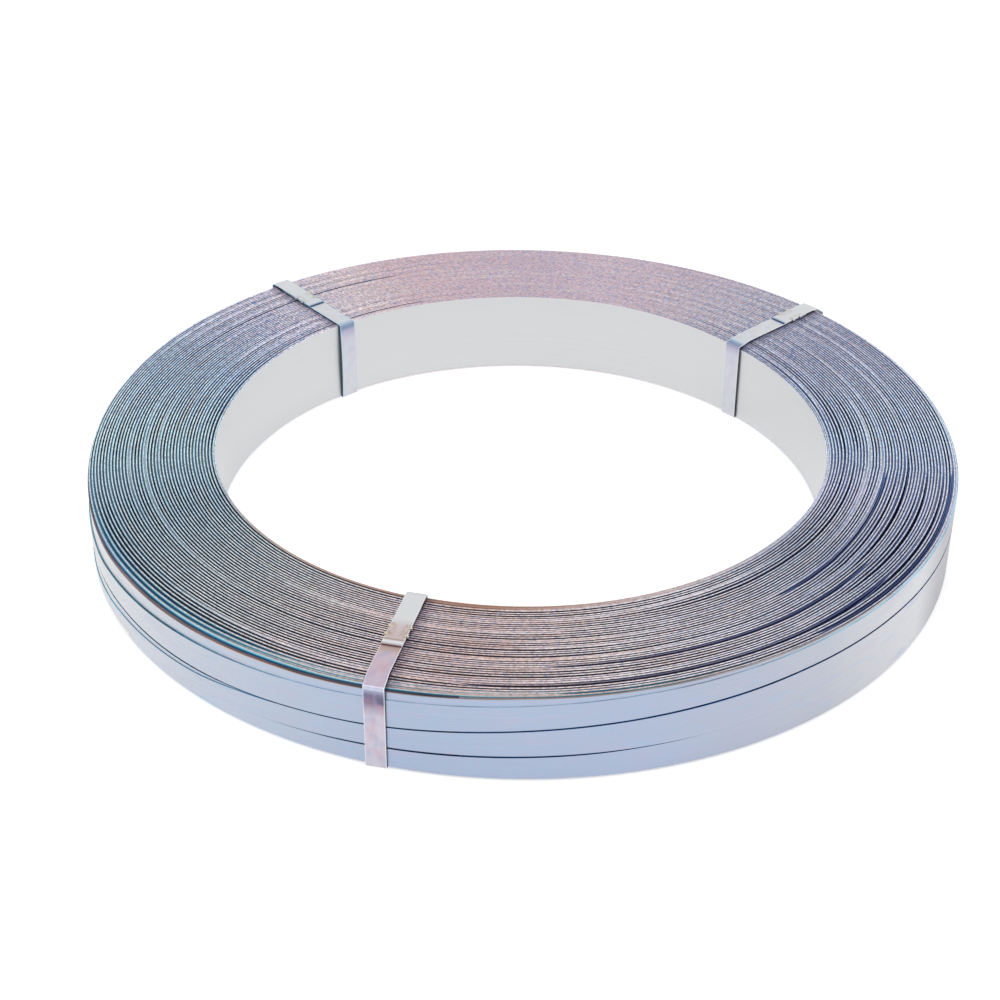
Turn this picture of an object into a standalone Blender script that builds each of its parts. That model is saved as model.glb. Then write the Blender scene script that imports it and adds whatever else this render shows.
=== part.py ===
"""Steel strapping coil: one long steel strap wound three widths abreast, bound by three narrow ties.

Run it with blender --background --python part.py, or from Blender's text editor. Metres, +Z up.
The coil lies flat on its three ties, with its axis along Z and the origin on the floor at its centre.
"""

import math

import bmesh
import bpy
from mathutils import Matrix, Vector

# The wound strap.
STRAP_WIDTH = 0.019
STRAP_THICKNESS = 0.0009
STRAPS_ABREAST = 3
ABREAST_GAP = 0.001
LAYER_COUNT = 84
LAYER_AIR = 0.00013
BORE_RADIUS = 0.203

# How the ends of the coil show its turns: rings of a few layers each, pushed in a little.
LAYERS_PER_RING = 4
TOP_RING_STEP = 0.0011
BOTTOM_RING_STEP = 0.0006

# The outermost layer, which crosses from one width to the next.
WRAP_INSET = 0.0005
WRAP_BITE = 0.0004
WRAP_START_DEG = 312.0
WRAP_RAMP_DEG = 15.0
CROSSING_START_DEG = 206.0
CROSSING_SWEEP_DEG = 104.0
FREE_END_DEG = 138.0

# The ties: narrow strap, wrapped round the coil's section and locked on top with bent edge tabs.
TIE_WIDTH = 0.0127
TIE_THICKNESS = 0.0005
TIE_BEND_RADIUS = 0.001
TIE_SEAT_GAP = 0.0003
OVERLAP_GAP = 0.00015
HIDDEN_END_INSET = 0.012

# A tie's joint: pairs of edge tabs, cut through both layers and bent up together.
TAB_PAIRS = 2
TAB_FROM_END = 0.010
TAB_PITCH = 0.008
TAB_LENGTH = 0.003
TAB_DEPTH = 0.0017
TAB_FLARE = 0.0011
TAB_TILT_DEG = 24.0
TAB_ROOT = 0.0005
JOINT_LENGTH = 0.021

# Where each upper strap ends, out from the bore, and how slack the two loose ties are.
FRONT_END_FROM_BORE = 0.0525
RIGHT_END_FROM_BORE = 0.0530
LEFT_END_FROM_BORE = 0.0410
RIGHT_STAND_OFF = 0.0080
LEFT_STAND_OFF = 0.0020
RIGHT_BOW = 0.0008
LEFT_BOW = 0.0025

# A slack tie stands off the rim: it rises to a crest just inside it and droops to its outer bend.
RIM_CREST_INSET = 0.006
RIM_RISE = 0.16
RIM_DROOP = 0.20
SOFT_BEND_RADIUS = 0.008

# Roundness of the turned shapes.
SEGMENTS = 60
BEND_STEPS = 4
LEG_STEPS = 6

# Worked out from the sizes above.
LAYER_PITCH = STRAP_THICKNESS + LAYER_AIR
OUTER_RADIUS = BORE_RADIUS + LAYER_COUNT * LAYER_PITCH
CORE_RADIUS = OUTER_RADIUS - LAYER_PITCH
RING_COUNT = round(LAYER_COUNT / LAYERS_PER_RING)
COIL_HEIGHT = STRAPS_ABREAST * STRAP_WIDTH + (STRAPS_ABREAST - 1) * ABREAST_GAP
COIL_BOTTOM = TIE_THICKNESS + TIE_SEAT_GAP
COIL_TOP = COIL_BOTTOM + COIL_HEIGHT
FACET_DEG = 360.0 / SEGMENTS


def clear_scene():
    """Removes whatever the opened file holds."""
    for obj in list(bpy.data.objects):
        bpy.data.objects.remove(obj, do_unlink=True)


def steel(name, color, roughness):
    """A bare steel finish."""
    material = bpy.data.materials.new(name)
    material.use_nodes = True
    shader = material.node_tree.nodes["Principled BSDF"]
    shader.inputs["Base Color"].default_value = (*color, 1.0)
    shader.inputs["Metallic"].default_value = 1.0
    shader.inputs["Roughness"].default_value = roughness
    return material


def new_object(name, bm, material=None):
    """Turns a finished bmesh into a linked object with smooth round faces and crisp edges."""
    bmesh.ops.recalc_face_normals(bm, faces=bm.faces)
    mesh = bpy.data.meshes.new(name)
    bm.to_mesh(mesh)
    bm.free()
    mesh.shade_smooth()
    mesh.set_sharp_from_angle(angle=math.radians(30))
    if material:
        mesh.materials.append(material)
    obj = bpy.data.objects.new(name, mesh)
    bpy.context.scene.collection.objects.link(obj)
    return obj


def hide_helper(obj):
    """Keeps a piece that only feeds a Boolean out of the model."""
    obj.hide_render = True
    obj.display_type = "WIRE"
    return obj


def boolean(obj, other, operation):
    """Adds or removes a helper's shape."""
    modifier = obj.modifiers.new(f"{operation.lower()} {other.name}", "BOOLEAN")
    modifier.operation = operation
    modifier.object = other
    modifier.solver = "EXACT"


def smooth_step(value):
    """0 to 1 with a level start and end, held at both sides."""
    t = min(1.0, max(0.0, value))
    return t * t * (3.0 - 2.0 * t)


def ring_drop(index, step):
    """How far a ring of turns sits below the end face: five depths in a mixed order."""
    return step * (index * 7 % 5) / 4


def core_section():
    """The turned half-section as (radius, height), anticlockwise: bottom outwards, up, top inwards."""
    ring_width = (CORE_RADIUS - BORE_RADIUS) / RING_COUNT
    points = []
    for index in range(RING_COUNT):
        z = COIL_BOTTOM + ring_drop(index, BOTTOM_RING_STEP)
        points.append((BORE_RADIUS + index * ring_width, z))
        points.append((BORE_RADIUS + (index + 1) * ring_width, z))
    for index in reversed(range(RING_COUNT)):
        z = COIL_TOP - ring_drop(index, TOP_RING_STEP)
        points.append((BORE_RADIUS + (index + 1) * ring_width, z))
        points.append((BORE_RADIUS + index * ring_width, z))
    return points


def build_core(material):
    """All the layers but the outermost, as one turned ring with its bore."""
    bm = bmesh.new()
    corners = [bm.verts.new((r, 0.0, z)) for r, z in core_section()]
    edges = [bm.edges.new((a, b)) for a, b in zip(corners, corners[1:] + corners[:1])]
    bmesh.ops.spin(
        bm,
        geom=corners + edges,
        cent=(0, 0, 0),
        axis=(0, 0, 1),
        angle=math.tau,
        steps=SEGMENTS,
        use_merge=True,
    )
    bmesh.ops.remove_doubles(bm, verts=bm.verts, dist=1e-6)
    return new_object("strapping_coil", bm, material)


def loft(bm, sections):
    """Skins a row of like closed sections and caps both ends."""
    rings = [[bm.verts.new(point) for point in section] for section in sections]
    for ring, following in zip(rings, rings[1:]):
        for i in range(len(ring)):
            j = (i + 1) % len(ring)
            bm.faces.new((ring[i], ring[j], following[j], following[i]))
    bm.faces.new(rings[0])
    bm.faces.new(reversed(rings[-1]))


def wrap_bottom(turn_deg):
    """Height of the outermost strap's lower edge at a running angle that counts whole turns."""
    first = COIL_BOTTOM + WRAP_INSET
    last = COIL_TOP - WRAP_INSET - STRAP_WIDTH
    rise = (last - first) / (STRAPS_ABREAST - 1)
    crossed = sum(
        smooth_step((turn_deg - CROSSING_START_DEG - 360.0 * turn) / CROSSING_SWEEP_DEG)
        for turn in range(1, STRAPS_ABREAST)
    )
    return first + rise * crossed


def wrap_sections():
    """The outermost strap's section at every facet, from where it climbs out to its free end."""
    end_deg = FREE_END_DEG + 360.0 * STRAPS_ABREAST
    steps = round((end_deg - WRAP_START_DEG) / FACET_DEG)
    inner = CORE_RADIUS - WRAP_BITE
    for step in range(steps + 1):
        turn_deg = min(end_deg, WRAP_START_DEG + step * FACET_DEG)
        climb = smooth_step((turn_deg - WRAP_START_DEG) / WRAP_RAMP_DEG)
        outer = CORE_RADIUS - WRAP_BITE / 2 + climb * (OUTER_RADIUS - CORE_RADIUS + WRAP_BITE / 2)
        low = wrap_bottom(turn_deg)
        high = low + STRAP_WIDTH
        along = Vector((math.cos(math.radians(turn_deg)), math.sin(math.radians(turn_deg)), 0))
        yield [
            along * radius + Vector((0, 0, z))
            for radius, z in ((inner, low), (outer, low), (outer, high), (inner, high))
        ]


def build_coil(material):
    """The coil: the turned core with the outermost layer wound round it."""
    coil = build_core(material)
    bm = bmesh.new()
    loft(bm, list(wrap_sections()))
    boolean(coil, hide_helper(new_object("outer_wrap", bm)), "UNION")
    return coil


def rounded(corners):
    """A path in a tie's plane through corners of (x, z, bend radius), with an arc at each bend."""
    path = [Vector(corners[0][:2])]
    for before, (x, z, radius), after in zip(corners, corners[1:], corners[2:]):
        corner = Vector((x, z))
        to_before = (Vector(before[:2]) - corner).normalized()
        to_after = (Vector(after[:2]) - corner).normalized()
        turn = math.pi - to_before.angle(to_after)
        if not radius or turn < math.radians(1):
            path.append(corner)
            continue
        setback = radius * math.tan(turn / 2)
        centre = corner + (to_before + to_after).normalized() * (radius / math.cos(turn / 2))
        first = corner + to_before * setback - centre
        last = corner + to_after * setback - centre
        for step in range(BEND_STEPS + 1):
            path.append(centre + first.slerp(last, step / BEND_STEPS) * radius)
    return path + [Vector(corners[-1][:2])]


class Tie:
    """One binding tie, laid out in its own plane: x outwards along the radius, z up.

    The upper end of its joint comes over the coil's rim, or over the bore's edge if over_bore is set.
    The strap runs from its hidden end, under the joint, round the section and back over to the free end.
    """

    def __init__(self, name, angle_deg, lean_deg, end_from_bore, over_bore=False, stand_off=0.0, bow=0.0):
        self.name = name
        self.angle_deg = angle_deg
        self.lean_deg = lean_deg
        self.end_x = BORE_RADIUS + end_from_bore
        self.over_bore = over_bore
        self.stand_off = stand_off
        self.bow = bow

    def reach(self):
        """The furthest that the leaning tie gets from its radius, across the strap."""
        return TIE_WIDTH / 2 + math.sin(self.lean()) * (OUTER_RADIUS - BORE_RADIUS) / 2

    def lean(self):
        """The lean's size in radians, whichever way it goes."""
        return math.radians(abs(self.lean_deg))

    def edge_turn(self):
        """How much nearer to the coil the lean brings one edge of the strap's upright legs."""
        sideways = math.sin(self.lean()) * TIE_WIDTH / 2
        shortened = (1 - math.cos(self.lean())) * (OUTER_RADIUS - BORE_RADIUS) / 2
        return sideways + shortened

    def inner_x(self):
        """Where the tie's centreline runs down the bore, clear of the bore's facets."""
        facet = BORE_RADIUS * math.cos(math.pi / SEGMENTS)
        clear = math.sqrt(facet**2 - self.reach() ** 2)
        return clear - self.edge_turn() - TIE_SEAT_GAP - TIE_THICKNESS / 2

    def outer_x(self):
        """Where the tie's centreline runs down the coil's outer side."""
        return OUTER_RADIUS + self.edge_turn() + TIE_SEAT_GAP + TIE_THICKNESS / 2

    def lower_z(self):
        """Centreline height of the joint's lower layer, on the coil."""
        return COIL_TOP + TIE_SEAT_GAP + TIE_THICKNESS / 2

    def upper_z(self):
        """Centreline height of the joint's upper layer, which lies on the lower one."""
        return self.lower_z() + TIE_THICKNESS + OVERLAP_GAP

    def bore_leg(self):
        """Corners down the bore: the strap may bow off the wall, most of all halfway down."""
        top, bottom = self.lower_z(), TIE_THICKNESS / 2
        for step in range(1, LEG_STEPS):
            share = step / LEG_STEPS
            yield self.inner_x() - self.bow * math.sin(math.pi * share), top + share * (bottom - top), 0.0

    def corners(self):
        """The path's corners from the hidden end to the free end, each with its bend radius."""
        bend, floor = TIE_BEND_RADIUS, TIE_THICKNESS / 2
        inner, outer = self.inner_x(), self.outer_x()
        if self.over_bore:
            return [
                (BORE_RADIUS + HIDDEN_END_INSET, self.lower_z(), 0.0),
                (outer, self.lower_z(), bend),
                (outer, floor, bend),
                (inner, floor, bend),
                *reversed(list(self.bore_leg())),
                (inner, self.upper_z(), bend),
                (self.end_x, self.upper_z(), 0.0),
            ]
        return [
            (OUTER_RADIUS - HIDDEN_END_INSET, self.lower_z(), 0.0),
            (inner, self.lower_z(), bend),
            *self.bore_leg(),
            (inner, floor, bend),
            (outer, floor, bend),
            (outer + self.stand_off, self.upper_z() - self.stand_off * RIM_DROOP, bend),
            (OUTER_RADIUS - RIM_CREST_INSET, self.upper_z() + self.stand_off * RIM_RISE, SOFT_BEND_RADIUS),
            (self.end_x + JOINT_LENGTH, self.upper_z(), SOFT_BEND_RADIUS),
            (self.end_x, self.upper_z(), 0.0),
        ]

    def ribbon(self):
        """The strap itself: its section swept along the centreline, square to it."""
        path = [Vector((point.x, 0, point.y)) for point in rounded(self.corners())]
        sections = []
        for i, point in enumerate(path):
            before = (point - path[i - 1]).normalized() if i else None
            after = (path[i + 1] - point).normalized() if i + 1 < len(path) else None
            along = ((before or after) + (after or before)).normalized()
            across = Vector((-along.z, 0, along.x)) * (TIE_THICKNESS / 2)
            if before and after:
                across /= max(0.5, along.dot(after))
            side = Vector((0, TIE_WIDTH / 2, 0))
            sections.append(
                [point - across - side, point + across - side, point + across + side, point - across + side]
            )
        bm = bmesh.new()
        loft(bm, sections)
        return bm

    def tab_places(self):
        """Radii of the joint's locking tabs, along the upper strap from its free end."""
        along = -1 if self.over_bore else 1
        return [self.end_x + along * (TAB_FROM_END + TAB_PITCH * tab) for tab in range(TAB_PAIRS)]

    def tab_box(self, x, side, depth, height):
        """A block at the strap's edge, as long as a tab; side is -1 or 1."""
        middle = (self.lower_z() + self.upper_z()) / 2
        root = TIE_WIDTH / 2 - TAB_DEPTH
        return Matrix.Translation((x, side * root, middle)), Vector((TAB_LENGTH, side * depth, height))

    def notches(self):
        """Cutters that free the tabs from both layers."""
        bm = bmesh.new()
        for x in self.tab_places():
            for side in (-1, 1):
                place, size = self.tab_box(x, side, TAB_DEPTH * 2, 6 * TIE_THICKNESS)
                add_block(bm, place, size, 0.0)
        return bm

    def tabs(self):
        """The freed edge tabs, bent up through both layers so that they lock."""
        bm = bmesh.new()
        for x in self.tab_places():
            for side in (-1, 1):
                thick = 2 * TIE_THICKNESS + OVERLAP_GAP
                place, size = self.tab_box(x, side, TAB_DEPTH + TAB_FLARE, thick)
                size.x -= 2 * OVERLAP_GAP
                tilt = Matrix.Rotation(math.radians(side * TAB_TILT_DEG), 4, "X")
                add_block(bm, place @ tilt, size, TAB_ROOT)
        return bm

    def placement(self):
        """Turns the tie to its place round the coil and leans it about the middle of the build."""
        middle = (BORE_RADIUS + OUTER_RADIUS) / 2
        lean = Matrix.Translation((middle, 0, 0)) @ Matrix.Rotation(math.radians(self.lean_deg), 4, "Z")
        return Matrix.Rotation(math.radians(self.angle_deg), 4, "Z") @ lean @ Matrix.Translation((-middle, 0, 0))

    def build(self, material):
        """The finished tie with its joint."""
        tie = new_object(self.name, self.ribbon(), material)
        cutter = hide_helper(new_object(f"{self.name}_notches", self.notches()))
        flaps = hide_helper(new_object(f"{self.name}_tabs", self.tabs()))
        boolean(tie, cutter, "DIFFERENCE")
        boolean(tie, flaps, "UNION")
        for obj in (tie, cutter, flaps):
            obj.matrix_world = self.placement()
        return tie


def add_block(bm, place, size, root):
    """A box that runs from root inside the place's origin out to size.y, centred in x and z."""
    near = -math.copysign(root, size.y)
    corners = [
        bm.verts.new(place @ Vector((x, y, z)))
        for z in (-size.z / 2, size.z / 2)
        for x, y in (
            (-size.x / 2, near),
            (size.x / 2, near),
            (size.x / 2, size.y),
            (-size.x / 2, size.y),
        )
    ]
    for face in ((0, 1, 2, 3), (4, 5, 6, 7), (0, 1, 5, 4), (1, 2, 6, 5), (2, 3, 7, 6), (3, 0, 4, 7)):
        bm.faces.new([corners[i] for i in face])


def main():
    """Builds the coil and its three ties."""
    clear_scene()
    coil_steel = steel("coil_steel", (0.62, 0.64, 0.70), 0.35)
    tie_steel = steel("tie_steel", (0.72, 0.72, 0.76), 0.38)
    build_coil(coil_steel)
    ties = (
        Tie("tie_front", 253.4, 3.6, FRONT_END_FROM_BORE, over_bore=True),
        Tie("tie_right", 41.2, 2.5, RIGHT_END_FROM_BORE, stand_off=RIGHT_STAND_OFF, bow=RIGHT_BOW),
        Tie("tie_left", 130.0, 0.0, LEFT_END_FROM_BORE, stand_off=LEFT_STAND_OFF, bow=LEFT_BOW),
    )
    for tie in ties:
        tie.build(tie_steel)


main()
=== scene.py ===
"""Looks of the steel strapping coil: the wound strap turn by turn, its crossing outer layer and three ties.

Everything is in metres in the CAD's own frame: +Z up, the coil's axis on Z and the floor at zero.
Azimuths are degrees round the axis, anticlockwise from +X seen from above. The camera looks from 270.
A running angle is an azimuth that counts on from turn to turn along the strap.
"""

import logging
import math
from dataclasses import dataclass
from enum import IntEnum
from functools import cached_property
from typing import Iterator, Optional, Sequence, Union

import bpy
import numpy as np
from mathutils import Matrix, Vector


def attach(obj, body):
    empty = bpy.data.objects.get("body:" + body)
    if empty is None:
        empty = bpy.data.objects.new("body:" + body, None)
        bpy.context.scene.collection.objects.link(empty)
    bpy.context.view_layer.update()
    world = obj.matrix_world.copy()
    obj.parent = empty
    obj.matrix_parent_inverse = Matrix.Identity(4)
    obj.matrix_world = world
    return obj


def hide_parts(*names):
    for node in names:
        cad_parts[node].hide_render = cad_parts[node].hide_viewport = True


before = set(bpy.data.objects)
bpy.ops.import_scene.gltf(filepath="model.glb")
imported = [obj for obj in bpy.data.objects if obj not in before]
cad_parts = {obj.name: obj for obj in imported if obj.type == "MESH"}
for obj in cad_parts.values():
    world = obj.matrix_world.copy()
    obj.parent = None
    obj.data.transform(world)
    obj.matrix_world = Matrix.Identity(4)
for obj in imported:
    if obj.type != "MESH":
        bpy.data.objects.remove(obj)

log = logging.getLogger("strapping_coil")

MM = 0.001
SHARP_ANGLE = math.radians(28)
STRAP_MAP = "strap"
WHITE = (1.0, 1.0, 1.0, 1.0)

Output = bpy.types.NodeSocket
Millimetres = tuple[float, float]
Table = Sequence[tuple[float, float]]
Tints = Sequence[tuple[float, Union[str, float]]]


def linear(hex_color: str) -> tuple[float, float, float, float]:
    """Turns an sRGB hex colour into a linear one.

    Args:
        hex_color: The colour as "#rrggbb".

    Returns:
        Red, green, blue and an alpha of 1.
    """
    parts = [int(hex_color[i : i + 2], 16) / 255 for i in (1, 3, 5)]
    red, green, blue = (p / 12.92 if p <= 0.04045 else ((p + 0.055) / 1.055) ** 2.4 for p in parts)
    return red, green, blue, 1.0


def flowing(points: Table, at: np.ndarray) -> np.ndarray:
    """Reads a smooth curve through given points, held level beyond both ends.

    Args:
        points: Pairs of position and value, in rising order of position.
        at: The positions to read it at.

    Returns:
        The curve's value at each position.
    """
    x, y = np.array(points, float).T
    rate = np.diff(y) / np.diff(x)
    product, total = rate[1:] * rate[:-1], rate[1:] + rate[:-1]
    inside = np.divide(2 * product, total, out=np.zeros_like(total), where=product > 0)
    slope = np.concatenate([rate[:1], inside, rate[-1:]])
    i = np.clip(np.searchsorted(x, at) - 1, 0, len(x) - 2)
    span = x[i + 1] - x[i]
    t = np.clip((at - x[i]) / span, 0.0, 1.0)
    start = (2 * t**3 - 3 * t**2 + 1) * y[i] + (t**3 - 2 * t**2 + t) * span * slope[i]
    end = (3 * t**2 - 2 * t**3) * y[i + 1] + (t**3 - t**2) * span * slope[i + 1]
    return start + end


def around(points: Table, azimuth: np.ndarray) -> np.ndarray:
    """Reads a smooth curve that closes on itself round the coil.

    Args:
        points: Pairs of azimuth in degrees and value, in rising order from 0 to below 360.
        azimuth: The azimuths to read it at, which may run past 360.

    Returns:
        The curve's value at each azimuth.
    """
    closed = [(a + turn, v) for turn in (-360, 0, 360) for a, v in points]
    return flowing(closed, np.mod(azimuth, 360.0))


def wander(running: np.ndarray, seed: float) -> np.ndarray:
    """A slow, unrepeating drift between about -1 and 1 along the strap.

    Args:
        running: Running angles in degrees.
        seed: Shifts the drift, so that each use has its own.

    Returns:
        The drift at each angle.
    """
    t = np.radians(running)
    waves = ((0.41, 0.30), (1.37, 0.25), (2.61, 0.20), (4.83, 0.15), (9.2, 0.10))
    return sum(size * np.sin(rate * t + seed * (3.1 + rate)) for rate, size in waves)


@dataclass(frozen=True)
class CoilSize:
    """The sizes that the whole coil shares with its CAD."""

    bore: float = 0.203
    outer: float = 0.28952
    bottom: float = 0.0008
    height: float = 0.059
    thickness: float = 0.0009
    layers: int = 84

    @property
    def top(self) -> float:
        """Height of the coil's upper end."""
        return self.bottom + self.height

    @property
    def middle(self) -> float:
        """Radius of the middle of the build."""
        return (self.bore + self.outer) / 2

    @property
    def pitch(self) -> float:
        """From one layer to the next."""
        return (self.outer - self.bore) / self.layers


@dataclass(frozen=True)
class TiePlace:
    """Where a tie lies: its azimuth, the degrees that it leans off the radius, and its shaded side.

    The shaded side, where a shadow is painted on the coil's end,
    is 1 for the side of the higher azimuths and -1 for the other.
    """

    azimuth: float
    lean: float
    shaded_side: int


SIZE = CoilSize()
FRONT, RIGHT, LEFT = TiePlace(253.4, 3.6, 1), TiePlace(41.2, 2.5, -1), TiePlace(130.0, 0.0, 1)


class MixSocket(IntEnum):
    """Number of a Mix node's input or output, because several of them share a name."""

    FACTOR = 0
    BELOW = 6
    ABOVE = 7
    RESULT = 2


@dataclass
class Brush:
    """Works on the node tree of one material or world: adds nodes, and reads where a point lies.

    Attributes:
        tree: The node tree.
        shader: The shader that it feeds, if any.
    """

    tree: bpy.types.NodeTree
    shader: Optional[bpy.types.Node] = None

    def add(self, kind: str, settings: Optional[dict] = None, out: Union[int, str] = 0) -> Output:
        """Adds one shader node with its settings and links.

        Args:
            kind: Blender's name for the node, without its "ShaderNode".
            settings: Values by name or number of an input or by name of a property. An output as the value
                links it to the input. "stops" are a colour ramp's, with hex colours or shares from 0 to 1.
            out: Number or name of the output that is wanted.

        Returns:
            That output.
        """
        node = self.tree.nodes.new("ShaderNode" + kind)
        for name, value in (settings or {}).items():
            if name == "stops":
                ramp = node.color_ramp.elements
                while len(ramp) < len(value):
                    ramp.new(0.5)
                for element, (position, _) in zip(ramp, value):
                    element.position = position
                for element, (_, tint) in zip(ramp, value):
                    element.color = linear(tint) if isinstance(tint, str) else (tint, tint, tint, 1.0)
            elif isinstance(value, bpy.types.NodeSocket):
                self.tree.links.new(value, node.inputs[name])
            elif isinstance(name, int) or name in node.inputs:
                node.inputs[name].default_value = value
            else:
                setattr(node, name, value)
        return node.outputs[out]

    def feed(self, name: str, value: Output) -> None:
        """Links a value to one of the shader's inputs."""
        self.tree.links.new(value, self.shader.inputs[name])

    @cached_property
    def place(self) -> Output:
        """Where a point lies in the coil's own frame."""
        return self.add("TexCoord", out="Object")

    @cached_property
    def from_axis(self) -> Output:
        """The way to the point from the coil's axis, on the level."""
        return self.add("VectorMath", {"operation": "MULTIPLY", 0: self.place, 1: (1.0, 1.0, 0.0)})

    @cached_property
    def radius(self) -> Output:
        """The point's distance from the coil's axis, in metres."""
        return self.add("VectorMath", {"operation": "LENGTH", 0: self.from_axis}, "Value")

    @cached_property
    def azimuth(self) -> Output:
        """How far round the coil the point lies.

        Returns:
            The share of a turn, 0 to 1 from azimuth 0.
        """
        x, y = (self.add("SeparateXYZ", {0: self.place}, axis) for axis in (0, 1))
        angle = self.add("Math", {"operation": "ARCTAN2", 0: y, 1: x})
        turns = self.add("Math", {"operation": "MULTIPLY", 0: angle, 1: 1 / math.tau})
        return self.add("Math", {"operation": "FRACT", 0: turns})

    @cached_property
    def on_strap(self) -> Output:
        """Where the point lies on the strap's own map: metres along it and metres down from its edge."""
        return self.add("UVMap", {"uv_map": STRAP_MAP})

    @cached_property
    def depth(self) -> Output:
        """How far in from the coil's nearer end the point lies.

        Returns:
            The depth in metres.
        """
        down = self.add("SeparateXYZ", {0: self.on_strap}, 1)
        rest = self.add("Math", {"operation": "SUBTRACT", 0: SIZE.height, 1: down})
        return self.add("Math", {"operation": "MINIMUM", 0: down, 1: rest})

    def both(self, first: Output, second: Output) -> Output:
        """Where both of two patterns show, as their product."""
        return self.add("Math", {"operation": "MULTIPLY", 0: first, 1: second})

    def fade(self, source: Output, low: float, high: float, reach: float = 1.0) -> Output:
        """Turns a value into a smooth rise from 0 at low to reach at high.

        Args:
            source: The value.
            low: Where the rise starts.
            high: Where it ends, which may lie below low.
            reach: How far it rises.

        Returns:
            The rise.
        """
        ends = (low, high, 0.0, reach) if low < high else (high, low, reach, 0.0)
        settings = {"interpolation_type": "SMOOTHSTEP", 0: source, **dict(enumerate(ends, 1))}
        return self.add("MapRange", settings)

    def coat(
        self,
        below: Output,
        above: Union[Output, str],
        shown: Union[Output, float],
        where: Optional[Output] = None,
        blend: str = "MIX",
    ) -> Output:
        """Lays one colour over another.

        Args:
            below: The colour below.
            above: The colour above, as an output or a hex colour.
            shown: How much of it shows, as an output or a number.
            where: A second pattern that limits it, if any.
            blend: Blender's name of the way that they mix.

        Returns:
            The mixed colour.
        """
        settings = {
            "data_type": "RGBA",
            "blend_type": blend,
            MixSocket.FACTOR: shown if where is None else self.both(shown, where),
            MixSocket.BELOW: below,
            MixSocket.ABOVE: linear(above) if isinstance(above, str) else above,
        }
        return self.add("Mix", settings, MixSocket.RESULT)

    def round_coil(self, tints: Tints) -> Output:
        """A colour or a share that changes slowly round the coil.

        Args:
            tints: Pairs of azimuth in degrees and hex colour or share, from 0 to below 360.

        Returns:
            The colour or share.
        """
        stops = [(degrees / 360, tint) for degrees, tint in tints] + [(1.0, tints[0][1])]
        return self.add("ValToRGB", {"stops": stops, 0: self.azimuth})

    def roughen(self, height: Output, depth_mm: float) -> None:
        """Roughens the surface by a pattern.

        Args:
            height: The pattern.
            depth_mm: How deep it goes.
        """
        bump = {"Distance": depth_mm * MM, "Strength": 0.6, "Height": height}
        self.feed("Normal", self.add("Bump", bump))


@dataclass(frozen=True)
class Grain:
    """Noise drawn out along the strap.

    Attributes:
        length_mm: Length of one grain along the strap.
        width_mm: Its width across the strap.
        seed: Moves the pattern, so that each use has its own.
        detail: How many finer layers it has.
    """

    length_mm: float
    width_mm: float
    seed: float
    detail: float = 2.0

    def noise(self, brush: Brush) -> Output:
        """Adds the noise.

        Args:
            brush: The brush on the material.

        Returns:
            The noise, around 0.5.
        """
        scale = (1 / (self.length_mm * MM), 1 / (self.width_mm * MM), 1.0)
        mapping = {0: brush.on_strap, "Scale": scale, "Location": (self.seed, self.seed * 1.7, self.seed)}
        mapped = brush.add("Mapping", mapping)
        return brush.add("TexNoise", {0: mapped, "Scale": 1.0, "Detail": self.detail})


class Swirl(Grain):
    """Noise drawn out round the coil, its width along the radius, so that it runs over many turns alike."""

    def noise(self, brush: Brush) -> Output:
        """Adds the noise.

        Args:
            brush: The brush on the material.

        Returns:
            The noise, around 0.5.
        """
        unit = brush.add("VectorMath", {"operation": "NORMALIZE", 0: brush.from_axis})
        turned = {"operation": "SCALE", 0: unit, "Scale": SIZE.middle / (self.length_mm * MM)}
        per_width = 1 / (self.width_mm * MM)
        outwards = {"operation": "MULTIPLY_ADD", 0: brush.radius, 1: per_width, 2: self.seed * 7.3}
        rise = brush.add("CombineXYZ", {2: brush.add("Math", outwards)})
        spot = {"operation": "ADD", 0: brush.add("VectorMath", turned), 1: rise}
        where = brush.add("VectorMath", spot)
        return brush.add("TexNoise", {0: where, "Scale": 1.0, "Detail": self.detail})


@dataclass(frozen=True)
class Mottle:
    """Specks or clouds of another colour, where a noise runs high.

    Attributes:
        tint: Their hex colour.
        grain: The noise.
        start: The noise's value from which they show.
        full: Its value from which they show most.
        reach: How much of them shows there.
    """

    tint: str
    grain: Grain
    start: float
    full: float
    reach: float = 1.0

    def over(self, brush: Brush, color: Output, where: Optional[Output] = None) -> Output:
        """Lays them over a colour.

        Args:
            brush: The brush on the material.
            color: The colour below.
            where: A second pattern that limits them, if any.

        Returns:
            The mottled colour.
        """
        shown = brush.fade(self.grain.noise(brush), self.start, self.full, self.reach)
        return brush.coat(color, self.tint, shown, where)


@dataclass(frozen=True)
class Streaks:
    """Darker streaks, where a noise runs low.

    Attributes:
        tone: Their hex tone, which darkens the colour below.
        grain: The noise.
        start: The noise's value up to which they are full.
        end: Its value where they have gone.
    """

    tone: str
    grain: Grain
    start: float = 0.3
    end: float = 0.7

    def over(self, brush: Brush, color: Output) -> Output:
        """Darkens a colour with them.

        Args:
            brush: The brush on the material.
            color: The colour.

        Returns:
            The streaked colour.
        """
        stops = ((self.start, self.tone), (self.end, 1.0))
        tone = brush.add("ValToRGB", {"stops": stops, 0: self.grain.noise(brush)})
        return brush.coat(color, tone, 1.0, blend="MULTIPLY")


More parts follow.
